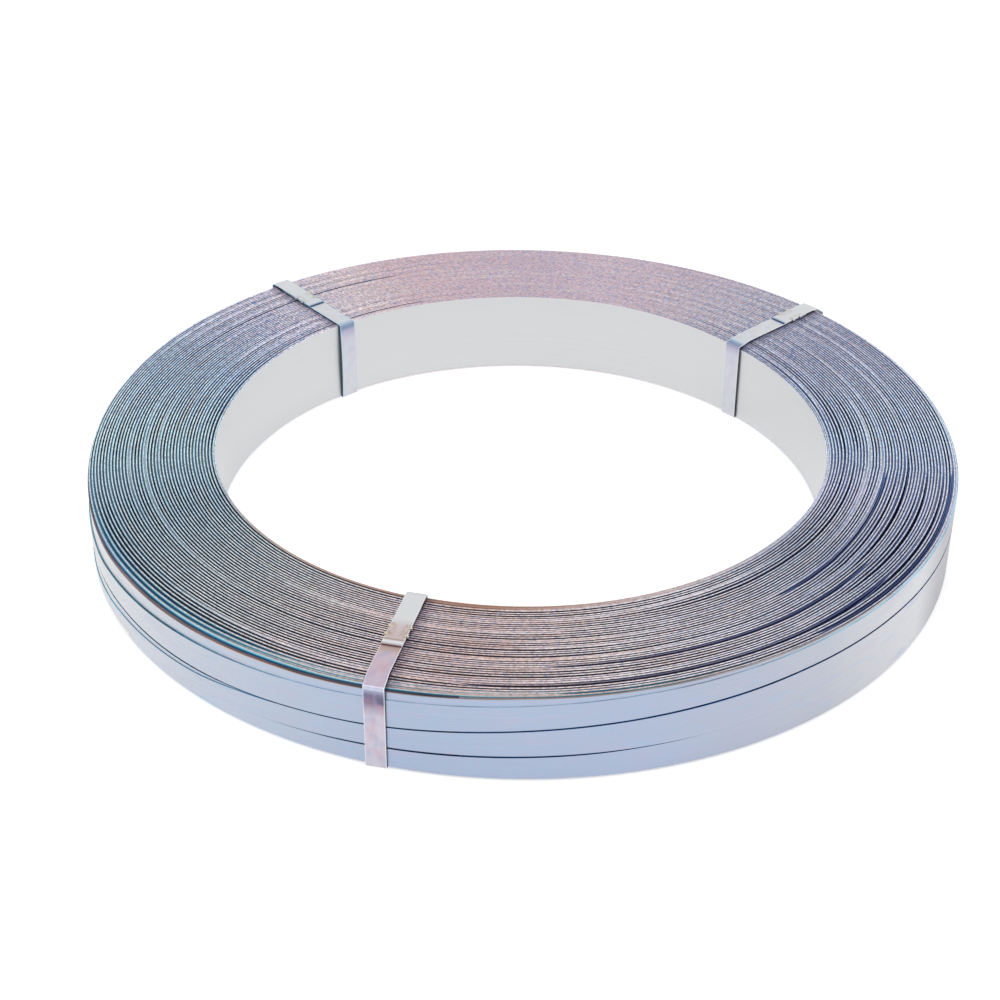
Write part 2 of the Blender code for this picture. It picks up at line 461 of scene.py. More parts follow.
@dataclass(frozen=True)
class Finish:
    """A steel finish. Each kind of it lays its own colours in its paint method."""

    name: str
    metallic: float = 1.0
    roughness: float = 0.4

    def material(self) -> bpy.types.Material:
        """Makes the material.

        Returns:
            The finished material.
        """
        material = bpy.data.materials.new(self.name)
        material.use_nodes = True
        brush = Brush(material.node_tree, material.node_tree.nodes["Principled BSDF"])
        brush.shader.inputs["Metallic"].default_value = self.metallic
        brush.shader.inputs["Roughness"].default_value = self.roughness
        brush.feed("Base Color", self.paint(brush))
        return material

    def paint(self, brush: Brush) -> Output:
        """Lays the finish's colours, and feeds what else of the shader varies.

        Args:
            brush: The brush on the material.

        Returns:
            The colour of the surface.
        """
        raise NotImplementedError


@dataclass(frozen=True)
class SlitEdge(Finish):
    """Slit edge of cold-rolled, blued and waxed steel strap.

    It gives the ends of the coil their fine mauve and blue speckle with a light bloom of rust.
    Deeper than a turn's crest its colour turns nearly black navy: painted shade for the recesses between
    turns.
    The grain that slitting leaves is about 0.2 mm, too fine to show, so its specks are drawn 2 to 3 mm long.
    """

    name: str = "slit_blued_steel_edge"
    roughness: float = 0.5
    bloom: Mottle = Mottle("#dcb49c", Swirl(60.0, 5.0, 2.0), 0.45, 0.65, 0.6)
    wax: Mottle = Mottle("#e2ded8", Swirl(75.0, 4.0, 9.0), 0.52, 0.72, 0.5)
    rust_specks: Mottle = Mottle("#d89c90", Grain(2.2, 1.6, 3.0), 0.52, 0.66, 0.65)
    blue_specks: Mottle = Mottle("#6498d4", Grain(2.6, 1.7, 11.0), 0.53, 0.65, 0.75)
    grit: Streaks = Streaks("#d4d4d4", Grain(2.4, 1.2, 23.0), 0.32, 0.62)
    coarse_specks: Mottle = Mottle("#6c84b4", Grain(3.2, 2.0, 37.0), 0.5, 0.6, 0.75)
    shade_depth_mm: Millimetres = (0.4, 1.1)
    shadow_mm: Millimetres = (17.0, 5.0)
    under_tie_mm: Millimetres = (0.0, 4.0)
    ahead_mm: Millimetres = (0.0, 50.0)
    rim_rust_mm: Millimetres = (7.0, 2.0)
    bore_rust_mm: Millimetres = (4.6, 3.2)
    tints: Tints = (
        (0, "#e4f4ff"), (22, "#e2eafe"), (42, "#d8d6e0"), (62, "#cebec8"), (90, "#cebac6"), (112, "#e0c8ce"),
        (122, "#f2e2e4"), (142, "#f4f2ff"), (160, "#def0ff"), (182, "#e6fcff"), (205, "#c6dcea"),
        (225, "#dce2e6"), (245, "#e6dcde"), (262, "#e8d2d2"), (282, "#f8f0f2"), (300, "#ecebf4"),
        (322, "#bcc6d6"), (342, "#dee0f2"),
    )
    # Painted shade: the navy that the edge turns to below its crest, by azimuth.
    painted_shades: Tints = (
        (0, "#6582b4"), (30, "#8090b4"), (60, "#9f94a4"), (110, "#9f94a0"), (140, "#8298be"),
        (165, "#6c9ac4"), (182, "#6c9cb6"), (205, "#507c96"), (230, "#5a7a90"), (248, "#6a7488"),
        (270, "#7c7282"), (288, "#62648a"), (305, "#5c6690"), (330, "#586692"),
    )
    speckled: Tints = (
        (0, 0.456), (40, 1.0), (90, 0.631), (135, 1.0), (165, 0.745), (195, 0.262), (235, 0.262),
        (262, 0.578), (300, 0.456), (335, 0.352),
    )
    mottled: Tints = (
        (0, 0.051), (18, 0.216), (36, 1.0), (50, 0.527), (66, 0.030), (108, 0.030), (126, 0.279),
        (138, 0.745), (158, 0.352), (178, 0.030), (260, 0.030),
    )
    bloomed: Tints = (
        (0, 0.0), (190, 0.0), (235, 0.117), (262, 0.745), (292, 0.434), (318, 0.014), (335, 0.0),
    )
    rim_rusty: Tints = (
        (0, 0.0), (205, 0.0), (225, 0.117), (240, 0.434), (290, 0.527), (312, 0.162), (326, 0.0),
    )
    bore_rusty: Tints = (
        (0, 0.0), (192, 0.0), (212, 0.352), (232, 0.745), (262, 1.0), (288, 0.479), (312, 0.162), (326, 0.0),
    )

    def beside(self, brush: Brush, tie: TiePlace) -> Output:
        """How near a point of the coil's end lies to the shaded side of a tie, for the shadow painted there.

        Args:
            brush: The brush on the material.
            tie: Where the tie lies.

        Returns:
            The share, 1 at the tie's edge and 0 from 17 mm off its middle line.
        """
        facing, side = math.radians(tie.azimuth + tie.lean), tie.shaded_side
        across = (-side * math.sin(facing), side * math.cos(facing), 0.0)
        outwards = (math.cos(facing), math.sin(facing), 0.0)
        aside, ahead = (
            brush.add("VectorMath", {"operation": "DOT_PRODUCT", 0: brush.place, 1: way}, "Value")
            for way in (across, outwards)
        )
        middle = SIZE.middle * side * math.sin(math.radians(tie.lean))
        apart = brush.add("Math", {"operation": "ADD", 0: aside, 1: middle})
        shadow, under, out = (
            brush.fade(distance, low * MM, high * MM)
            for distance, (low, high) in (
                (apart, self.shadow_mm), (apart, self.under_tie_mm), (ahead, self.ahead_mm)
            )
        )
        return brush.both(brush.both(shadow, under), out)

    def rust(self, brush: Brush) -> Output:
        """How rusty a point is: most along the rim and along the bore's edge, where hands and water come.

        Args:
            brush: The brush on the material.

        Returns:
            The share of rust.
        """
        rim = brush.fade(brush.radius, *(SIZE.outer - inside * MM for inside in self.rim_rust_mm), 0.8)
        bore = brush.fade(brush.radius, *(SIZE.bore + outside * MM for outside in self.bore_rust_mm), 0.9)
        rim_rust = brush.both(rim, brush.round_coil(self.rim_rusty))
        bore_rust = brush.both(bore, brush.round_coil(self.bore_rusty))
        return brush.add("Math", {"operation": "MAXIMUM", 0: rim_rust, 1: bore_rust})

    def paint(self, brush: Brush) -> Output:
        """Speckles the crest, clouds it with rust at the front, paints shade on what lies deeper and a
        shadow beside each tie.

        Args:
            brush: The brush on the material.

        Returns:
            The colour of the surface.
        """
        color = self.bloom.over(brush, brush.round_coil(self.tints), brush.round_coil(self.bloomed))
        color = self.wax.over(brush, color)
        for specks in (self.rust_specks, self.blue_specks):
            color = specks.over(brush, color, brush.round_coil(self.speckled))
        color = self.grit.over(brush, color)
        color = self.coarse_specks.over(brush, color, brush.round_coil(self.mottled))
        # Painted shade: the colour turns navy from 0.4 to 1.1 mm below a crest, where the recesses lie in
        # shade.
        below_crest_shade = brush.fade(brush.depth, *(depth * MM for depth in self.shade_depth_mm))
        color = brush.coat(color, brush.round_coil(self.painted_shades), below_crest_shade)
        rust, speck = self.rust(brush), self.rust_specks.grain.noise(brush)
        color = brush.coat(color, "#ac7b60", rust)
        # Painted shadow on the coil's end along the shaded side of each tie, broken up by the rust specks'
        # noise.
        for tie in (FRONT, RIGHT, LEFT):
            shadow = brush.fade(speck, 0.2, 0.5, 0.8)
            color = brush.coat(color, "#8a7c9c", self.beside(brush, tie), shadow, "MULTIPLY")
        bare = {0: rust, 1: 0.0, 2: 1.0, 3: 1.0, 4: 0.05}
        brush.feed("Metallic", brush.add("MapRange", bare))
        brush.roughen(speck, 0.05)
        return color


@dataclass(frozen=True)
class PaintedGlintAndShadeFlat(Finish):
    """Flat side of the same strap inside the coil, coloured with a painted highlight and painted shade.

    Just under a crest a painted highlight draws a bright blue line, and below that painted shade turns it
    deep navy.
    Where the rim steps down, more of it shows, and the painted highlight runs through teal and blue to
    mauve.
    """

    name: str = "blued_steel_flat_painted_glint_and_shade"
    metallic: float = 0.6
    roughness: float = 0.38
    streaks: Streaks = Streaks("#d8d8d8", Grain(40.0, 0.6, 5.0))
    reach_mm: Millimetres = (0.5, 1.8)
    rim_mm: Millimetres = (9.0, 5.0)
    glint_ramp_scale: float = 0.35
    painted_glints: Tints = (
        (0, "#a9c4ea"), (40, "#b4bfda"), (70, "#c4b2be"), (110, "#c4b2be"), (150, "#a4c8e4"),
        (182, "#94cce8"), (205, "#78b4d0"), (230, "#84a8b8"), (255, "#9ab4c6"), (275, "#b0a6ae"),
        (300, "#8590b8"), (330, "#7a8cc0"),
    )
    stepped: Tints = ((0, 0.0), (180, 0.0), (196, 0.807), (225, 1.0), (284, 1.0), (318, 0.0))
    glint_to_shade_ramp: Tints = (
        (0.07, "#c4f4ff"), (0.20, "#78cce4"), (0.36, "#2c94c4"), (0.53, "#3080b8"), (0.68, "#6888b8"),
        (0.84, "#a09cc0"), (0.96, "#aa8c98"),
    )

    def paint(self, brush: Brush) -> Output:
        """Runs from a painted highlight at the edge to painted navy shade, further down where the rim steps
        down.

        Args:
            brush: The brush on the material.

        Returns:
            The colour of the surface.
        """
        start, end = (SIZE.outer - inside * MM for inside in self.rim_mm)
        stepped = brush.both(brush.fade(brush.radius, start, end), brush.round_coil(self.stepped))
        low, high = (reach * MM for reach in self.reach_mm)
        reach = brush.add("MapRange", {0: stepped, 1: 0.0, 2: 1.0, 3: low, 4: high})
        deep = brush.add("Math", {"operation": "DIVIDE", 0: brush.depth, 1: reach})
        # Painted shade: the slit edges' navy, reached below the painted highlight.
        navy = brush.round_coil(SlitEdge().painted_shades)
        color = brush.coat(brush.round_coil(self.painted_glints), navy, brush.fade(deep, 0.3, 1.2))
        # Where the rim steps down, the painted highlight fades through teal and blue to mauve, by depth.
        squeezed = brush.add("Math", {"operation": "MULTIPLY", 0: deep, 1: self.glint_ramp_scale})
        film = brush.add("ValToRGB", {"stops": self.glint_to_shade_ramp, 0: squeezed})
        return self.streaks.over(brush, brush.coat(color, film, stepped))


@dataclass(frozen=True)
class BoreFlat(Finish):
    """Bright cold-rolled strap face round the bore: an even, pale, faintly drawn grey."""

    name: str = "bright_rolled_steel_bore"
    roughness: float = 0.42
    roll: Grain = Grain(260.0, 1.1, 7.0)
    edge_mm: Millimetres = (0.5, 0.1)

    def paint(self, brush: Brush) -> Output:
        """Draws faint rolling lines and a darker, warm line along the coil's edge.

        Args:
            brush: The brush on the material.

        Returns:
            The colour of the surface.
        """
        stops = ((0.3, "#d1d2d4"), (0.7, "#d4d5d6"))
        tone = brush.add("ValToRGB", {"stops": stops, 0: self.roll.noise(brush)})
        edge = brush.fade(brush.depth, *(depth * MM for depth in self.edge_mm), 0.6)
        return brush.coat(tone, "#b08c88", edge)


@dataclass(frozen=True)
class OuterFlat(Finish):
    """Waxed cold-rolled strap face on the outside of the coil.

    It gives the side its soft clouds of pale blue and lavender, greyer towards the left and right.
    The wax's own specks are under 0.5 mm, too fine to show, so they are drawn 1.6 mm long.
    """

    name: str = "waxed_rolled_steel_face"
    clouds: Mottle = Mottle("#c3b9d0", Grain(38.0, 9.0, 2.0, 3.0), 0.5, 0.75, 0.35)
    film: Mottle = Mottle("#9fc0dc", Grain(26.0, 6.0, 31.0, 3.0), 0.52, 0.78, 0.35)
    rolling_lines: Streaks = Streaks("#f8f8f8", Grain(180.0, 0.7, 13.0))
    blue_specks: Mottle = Mottle("#96bcdc", Grain(1.6, 1.2, 17.0), 0.56, 0.74, 0.5)
    pink_specks: Mottle = Mottle("#ccb4c8", Grain(1.6, 1.2, 41.0), 0.56, 0.74, 0.4)
    tints: Tints = (
        (0, "#c8c8d2"), (90, "#cdced4"), (170, "#d2d3d5"), (190, "#dedbda"), (203, "#d8d9da"),
        (214, "#d2d4d8"), (228, "#c6ccd6"), (242, "#b8c2d2"), (256, "#adbad0"), (284, "#afbbd1"),
        (296, "#b6bccc"), (308, "#bec2cc"), (315, "#cccdd2"), (328, "#d8d9db"), (336, "#b4b3b7"),
        (343, "#a6a5aa"), (352, "#cccfd8"),
    )

    def paint(self, brush: Brush) -> Output:
        """Clouds the wax film over fine rolling lines, and specks it.

        Args:
            brush: The brush on the material.

        Returns:
            The colour of the surface.
        """
        color = brush.round_coil(self.tints)
        for layer in (self.clouds, self.film, self.rolling_lines, self.blue_specks, self.pink_specks):
            color = layer.over(brush, color)
        brush.roughen(self.clouds.grain.noise(brush), 0.04)
        return color


@dataclass(frozen=True)
class SeamEdge(Finish):
    """Slit edge of the outer straps where two widths meet: a deep teal, the painted shade that draws each
    seam.
    """

    name: str = "seam_edge_painted_shade"
    metallic: float = 0.6
    roughness: float = 0.45
    drift: Streaks = Streaks("#c4c4c4", Grain(30.0, 3.0, 19.0), 0.35, 0.65)
    tints: Tints = (
        (0, "#6f9cb4"), (195, "#50b0d0"), (228, "#40a8d4"), (246, "#3494c8"), (262, "#206cb0"),
        (300, "#1c60a8"), (345, "#3068a4"),
    )

    def paint(self, brush: Brush) -> Output:
        """Lays the tints and lets them drift a little along the strap."""
        return self.drift.over(brush, brush.round_coil(self.tints))


@dataclass(frozen=True, kw_only=True)
class TieFace(Finish):
    """Zinc-coated tie strap, handled and bent: pale grey with blushes of lavender where it was handled.

    Its colours are given by millimetres along the strap, from the free end of its joint, with its soiling
    and painted shade.
    """

    roughness: float = 0.42
    length: float
    soil_and_painted_shade: Tints
    handled_mm: Millimetres = (50.0, 60.0)
    joint_mm: Millimetres = (6.0, 24.0)
    joint_fade: tuple[float, float] = (0.012, 0.016)
    soiled: float = 0.35
    scuff_color: str = "#a98a6c"
    edge_highlight_color: str = "#e6e8ec"
    smudges: Mottle = Mottle("#c79aaa", Grain(9.0, 6.0, 4.0, 4.0), 0.42, 0.68)
    film: Mottle = Mottle("#8fa4c8", Grain(8.0, 6.0, 8.0, 4.0), 0.46, 0.70)
    scuffs: Grain = Grain(3.0, 2.4, 15.0, 4.0)
    scuffed_mm: Millimetres = (0.5, 5.5)
    rim_mm: Millimetres = (5.6, 6.2)

    def share(self, along_mm: float) -> float:
        """The share of the strap's length that some millimetres are."""
        return along_mm * MM / self.length

    def paint(self, brush: Brush) -> Output:
        """Colours the strap along its length, with small smudges, a scuffed joint and a painted highlight
        along its edges.

        Args:
            brush: The brush on the material.

        Returns:
            The colour of the surface.
        """
        lengthwise, crosswise = (brush.add("SeparateXYZ", {0: brush.on_strap}, axis) for axis in (0, 1))
        along = brush.add("Math", {"operation": "MULTIPLY", 0: lengthwise, 1: 1 / self.length})
        across = brush.add("Math", {"operation": "ABSOLUTE", 0: crosswise})
        # Colours along the strap: a painted shadow line at the joint's free end, and on the front tie
        # painted shade where it bends over the rim.
        stops = [(self.share(mm), tint) for mm, tint in self.soil_and_painted_shade]
        color = brush.add("ValToRGB", {"stops": stops, 0: along})
        handled = brush.fade(along, *map(self.share, self.handled_mm), self.soiled)
        for mottle in (self.smudges, self.film):
            color = mottle.over(brush, color, handled)
        (low, high), (rise, fall) = map(self.share, self.joint_mm), self.joint_fade
        joint = brush.both(brush.fade(along, low, low + rise), brush.fade(along, high, high - fall))
        near_edge = brush.fade(across, *(mm * MM for mm in self.scuffed_mm))
        scuffs = Mottle(self.scuff_color, self.scuffs, 0.40, 0.62, 0.8)
        color = scuffs.over(brush, color, brush.both(joint, near_edge))
        # Painted highlight along both edges of the strap.
        color = brush.coat(color, self.edge_highlight_color, brush.fade(across, *(mm * MM for mm in self.rim_mm), 0.8))
        brush.roughen(self.smudges.grain.noise(brush), 0.05)
        return color


def side_face(name: str, bend: float, edge_highlight_color: str) -> TieFace:
    """Finish of a tie at the back of the coil: darker and bluer where it bends into the bore, with a painted
    shadow line at its free end.

    Args:
        name: The finish's name.
        bend: Millimetres along the strap to that bend.
        edge_highlight_color: Colour of the strap's bright edges.

    Returns:
        The finish.
    """
    soil_and_painted_shade = (
        (0, "#2c5c8c"), (1.0, "#4470a0"), (1.6, "#d0d4d8"), (40, "#d6d8da"), (100, "#ccced6"),
        (bend - 50, "#cfd1d8"), (bend - 12, "#cccdd8"), (bend - 6, "#b4b4cc"), (bend - 3, "#8090b0"),
        (bend - 0.5, "#8ca8c0"), (bend + 2, "#c8d4dc"), (bend + 5, "#d0d4d9"), (bend + 40, "#d4d7da"),
    )
    return TieFace(
        name=name, length=0.335, soil_and_painted_shade=soil_and_painted_shade, soiled=0.12, scuff_color="#b8aca4", edge_highlight_color=edge_highlight_color
    )


# The bottom of a seam between two widths: painted bright teal, a painted highlight for light falling in from
# the side.
SEAM_FLOOR = SeamEdge(name="seam_floor_painted_highlight", tints=((0, "#58b8e8"), (240, "#4cb4ea"), (345, "#4cb0ea")))

# The outer strap's upper edge where no further turn lies on it: a thin waxed line, teal at the front left,
# where it is painted shade along its ledge, and nearly white further round.
FREE_EDGE = SeamEdge(
    name="free_edge_painted_shade",
    metallic=0.9,
    tints=(
        (0, "#8fbcd2"), (198, "#86bccc"), (214, "#4a94ae"), (228, "#5296b2"), (240, "#a4c8dc"),
        (258, "#e4f2fc"), (290, "#e4f6ff"), (312, "#b4ecff"), (345, "#a8e0f8"),
    ),
)

# The rim's worn outer corner, which has rusted: a thin orange line at the front left.
RIM_CORNER = SeamEdge(
    name="rusted_rim_corner",
    metallic=0.0,
    roughness=0.7,
    tints=(
        (0, "#c8c0c4"), (184, "#b8a8a4"), (196, "#dc9864"), (215, "#f0a064"), (240, "#dca070"),
        (254, "#d0b098"), (270, "#ccbcb0"), (320, "#c8c0c4"),
    ),
)

# The edge of the outermost layer where the rim steps down: oil over rust, a dull brown.
RIM_EDGE = SeamEdge(
    name="oiled_rusty_rim_edge",
    metallic=0.2,
    roughness=0.6,
    tints=(
        (0, "#c8c0c4"), (184, "#b0a09c"), (198, "#a88880"), (215, "#b89080"), (240, "#a88c7c"),
        (256, "#8c8080"), (264, "#747080"), (276, "#b0a8a8"), (320, "#c8c0c4"),
    ),
)

# The next turn in, at the foot of the first step: mauve to navy, painted shade at the step's foot.
RIM_FOOT = SeamEdge(
    name="foot_of_rim_step_painted_shade",
    metallic=0.2,
    roughness=0.6,
    tints=(
        (0, "#a8b0b8"), (184, "#8c98a8"), (198, "#7c7c8c"), (215, "#84747c"), (240, "#746a78"),
        (255, "#505068"), (262, "#3c4460"), (272, "#585c70"), (282, "#c4b8b4"), (320, "#c0c0c4"),
    ),
)

# The joints' bent tabs: bare where the zinc cracked, slightly yellow.
TAB_STEEL = SeamEdge(
    name="bent_tab_steel", metallic=0.6, tints=((0, "#d8d0c4"), (120, "#dcdad8"), (250, "#e4d8bc"))
)

# The front tie's face: soiled at the joint, with a painted shadow line at its free end and painted shade
# where it bends over the rim.
FRONT_FACE = TieFace(
    name="zinc_coated_tie_front",
    length=0.345,
    soil_and_painted_shade=(
        (0, "#8c7674"), (1.0, "#b4a8a8"), (2.0, "#dfe4ec"), (4.2, "#d8d8da"), (5.6, "#a08272"),
        (6.8, "#c8bcbc"), (12, "#c8b8ba"), (20, "#ccc4c6"), (26, "#d6d8da"), (50, "#d6d8da"),
        (56, "#c8cad4"), (200, "#c6c4d0"), (238, "#ccc4ce"), (244.5, "#a8a0b0"), (248, "#686680"),
        (253, "#74728c"), (256, "#9c9cb4"), (257.5, "#c8daec"), (260, "#bcb4c4"), (268, "#c8b4c0"),
        (286, "#c8bac4"), (291, "#bca498"), (298, "#a89488"),
    ),
)


def added(name: str, data: bpy.types.ID) -> bpy.types.Object:
    """Puts a new object into the scene.

    Args:
        name: Its name.
        data: Its mesh, camera or lamp.

    Returns:
        The object.
    """
    made = bpy.data.objects.new(name, data)
    bpy.context.scene.collection.objects.link(made)
    return made


@dataclass
class Sweep:
    """A closed skin through a row of like sections.

    Attributes:
        sections: The corners of each section, as points.
        along: Metres along the strap of each section.
        across: Metres across the strap of each corner of each section.
        finishes: Number of the material of each side between two sections.
        mirrored: Whether its corners run round the other way, so that its faces have to be turned over.
    """

    sections: np.ndarray
    along: np.ndarray
    across: np.ndarray
    finishes: np.ndarray
    mirrored: bool = False

    def part(self, start: int, end: int) -> "Sweep":
        """The stretch from one section to another."""
        row = slice(start, end + 1)
        return Sweep(self.sections[row], self.along[row], self.across[row], self.finishes[start:end])

    def quads(self) -> np.ndarray:
        """Corners of every face, sides first and then both caps.

        Returns:
            Four vertex numbers a face.
        """
        rings, corners, _ = self.sections.shape
        ring = np.arange(rings - 1)[:, None] * corners
        here = np.arange(corners)[None, :]
        there = (here + 1) % corners
        sides = np.stack([ring + corners + here, ring + corners + there, ring + there, ring + here], -1)
        steps = np.arange(corners // 2 - 1)
        cap = np.stack([steps, steps + 1, corners - 2 - steps, corners - 1 - steps], -1)
        far = cap[:, ::-1] + (rings - 1) * corners
        return np.concatenate([sides.reshape(-1, 4), cap, far])

    def map_points(self) -> np.ndarray:
        """Texture coordinates of every face corner, in the order of the faces.

        Returns:
            Metres along and across for each.
        """
        along = np.broadcast_to(self.along[:, None], self.across.shape)
        here, there = (np.stack([along, side], -1) for side in (self.across, np.roll(self.across, -1, 1)))
        sides = np.stack([here[1:], there[1:], there[:-1], here[:-1]], 2)
        cap_corners = 4 * (self.across.shape[1] // 2 - 1)
        caps = [np.tile([self.along[end], self.across[end].mean()], (cap_corners, 1)) for end in (0, -1)]
        return np.concatenate([sides.reshape(-1, 2), *caps])

    def face_finishes(self) -> np.ndarray:
        """Material number of every face, with the first material on the caps."""
        caps = self.sections.shape[1] // 2 - 1
        return np.concatenate([self.finishes.reshape(-1), np.zeros(2 * caps, int)])

    def skin(self) -> tuple[np.ndarray, np.ndarray, np.ndarray]:
        """The skin as mesh data, with every face looking outwards.

        Returns:
            Vertices, four vertex numbers a face, and texture coordinates of every face corner.
        """
        points, quads, mapped = self.sections.reshape(-1, 3), self.quads(), self.map_points()
        if self.mirrored:
            quads, mapped = quads[:, ::-1], mapped.reshape(-1, 4, 2)[:, ::-1].reshape(-1, 2)
        return points, quads, mapped


def make_piece(
    name: str, sweeps: Sequence[Sweep], materials: Sequence[bpy.types.Material]
) -> bpy.types.Object:
    """Turns closed skins into one piece of the coil.

    Args:
        name: The piece's name.
        sweeps: Its skins.
        materials: Its materials, in the order that the skins number them.

    Returns:
        The piece, which rides on the coil's body.
    """
    points, faces, maps, base = [], [], [], 0
    for sweep in sweeps:
        vertices, quads, mapped = sweep.skin()
        points.append(vertices)
        faces.append(quads + base)
        maps.append(mapped)
        base += len(vertices)
    mesh = bpy.data.meshes.new(name)
    mesh.from_pydata(np.concatenate(points), [], np.concatenate(faces))
    layer = mesh.uv_layers.new(name=STRAP_MAP)
    layer.data.foreach_set("uv", np.concatenate(maps).astype(np.float32).ravel())
    for material in materials:
        mesh.materials.append(material)
    finishes = np.concatenate([sweep.face_finishes() for sweep in sweeps])
    mesh.polygons.foreach_set("material_index", finishes.astype(np.int32))
    mesh.shade_smooth()
    mesh.set_sharp_from_angle(angle=SHARP_ANGLE)
    mesh.update()
    piece = added(name, mesh)
    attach(piece, "root")
    log.info("%s: %d faces", name, len(mesh.polygons))
    return piece


def strap_sweep(
    running: np.ndarray,
    inner: np.ndarray,
    low: np.ndarray,
    high: np.ndarray,
    finishes: np.ndarray,
    bevel: float,
    crest: Optional[np.ndarray] = None,
) -> Sweep:
    """A run of strap wound round the axis, standing on its edge.

    Args:
        running: Running angle of each section.
        inner: Radius of its inner face.
        low: Height of its lower edge.
        high: Height of its upper edge.
        finishes: Material numbers of the six sides of each run between sections: lower edge, outer face,
            three for the upper edge with its corners, and inner face.
        bevel: Size of the worn corners at its upper edge.
        crest: Height that its depth is counted from on the map, if that isn't its upper edge.

    Returns:
        The closed skin.
    """
    outer = inner + SIZE.thickness
    radii = np.stack([inner, outer, outer, outer - bevel, inner + bevel, inner], -1)
    heights = np.stack([low, low, high - bevel, high, high, high - bevel], -1)
    down = (high if crest is None else crest)[:, None] - heights
    turn = np.radians(running)[:, None]
    sections = np.stack([radii * np.cos(turn), radii * np.sin(turn), heights], -1)
    along = np.cumsum(np.radians(np.diff(running, prepend=running[0])) * inner)
    return Sweep(sections, along, down, finishes)


@dataclass(frozen=True)
class Opening:
    """A lens of air between two turns: its radius and width in millimetres, and its azimuths.

    Beside some of them the next crest has dived as well, by so many millimetres.
    """

    radius_mm: float
    width_mm: float
    start: float
    end: float
    dive_mm: float = 0.0
    slope_share: float = 1 / 6
    roundness: float = 0.6

    @property
    def turn(self) -> int:
        """Number of the turn inside it, which is one that makes a crest."""
        return round((self.radius_mm * MM - SIZE.bore) / SIZE.pitch / 2) * 2

    def share(self, azimuth: np.ndarray) -> np.ndarray:
        """How far along it each azimuth lies, 0 to 1."""
        return np.clip(np.mod(azimuth - self.start, 360.0) / (self.end - self.start), 0.0, 1.0)

    def dived(self, azimuth: np.ndarray) -> np.ndarray:
        """How far the crest beside it has gone down at each azimuth, with a short slope at both ends."""
        share = self.share(azimuth)
        return self.dive_mm * MM * np.clip(np.minimum(share, 1.0 - share) / self.slope_share, 0.0, 1.0)

    def opened(self, azimuth: np.ndarray) -> np.ndarray:
        """Its width at each azimuth, which tapers to nothing at both ends."""
        return self.width_mm * MM * np.sin(math.pi * self.share(azimuth)) ** self.roundness


OPENINGS = tuple(
    Opening(*row)
    for row in (
        (277.6, 0.4, 262, 324, 3.2), (282.6, 0.4, 306, 352, 3.0), (276.6, 1.6, 308, 350),
        (266.5, 1.7, 316, 350), (263.0, 0.6, 322, 345), (260.4, 0.6, 272, 326, 2.6),
        (254.2, 1.8, 322, 354), (249.6, 0.7, 238, 312), (247.6, 1.0, 316, 350),
        (241.2, 0.5, 308, 350, 2.2), (213.0, 0.7, 318, 352), (244.6, 0.9, 236, 290),
        (239.8, 0.4, 276, 306), (236.8, 0.5, 226, 252), (234.4, 0.6, 250, 312), (228.4, 0.3, 276, 312),
        (224.3, 0.6, 272, 312), (219.4, 1.2, 290, 352), (217.0, 0.7, 282, 312), (210.3, 0.4, 238, 312),
        (207.0, 0.7, 230, 304), (251.4, 0.5, 226, 254), (263.4, 0.5, 230, 270), (264.9, 0.5, 268, 300),
        (268.6, 0.7, 234, 306), (283.5, 0.6, 274, 312), (214.3, 0.8, 350, 380), (222.3, 0.7, 355, 377),
        (257.0, 0.7, 112, 162), (207.0, 0.5, 110, 155),
    )
)


class WoundSide(IntEnum):
    """Number of a wound turn's material."""

    EDGE = 0
    PAINTED_FLAT = 1
    BORE = 2
    SEAM_FLOOR = 3
    RIM_FOOT = 4


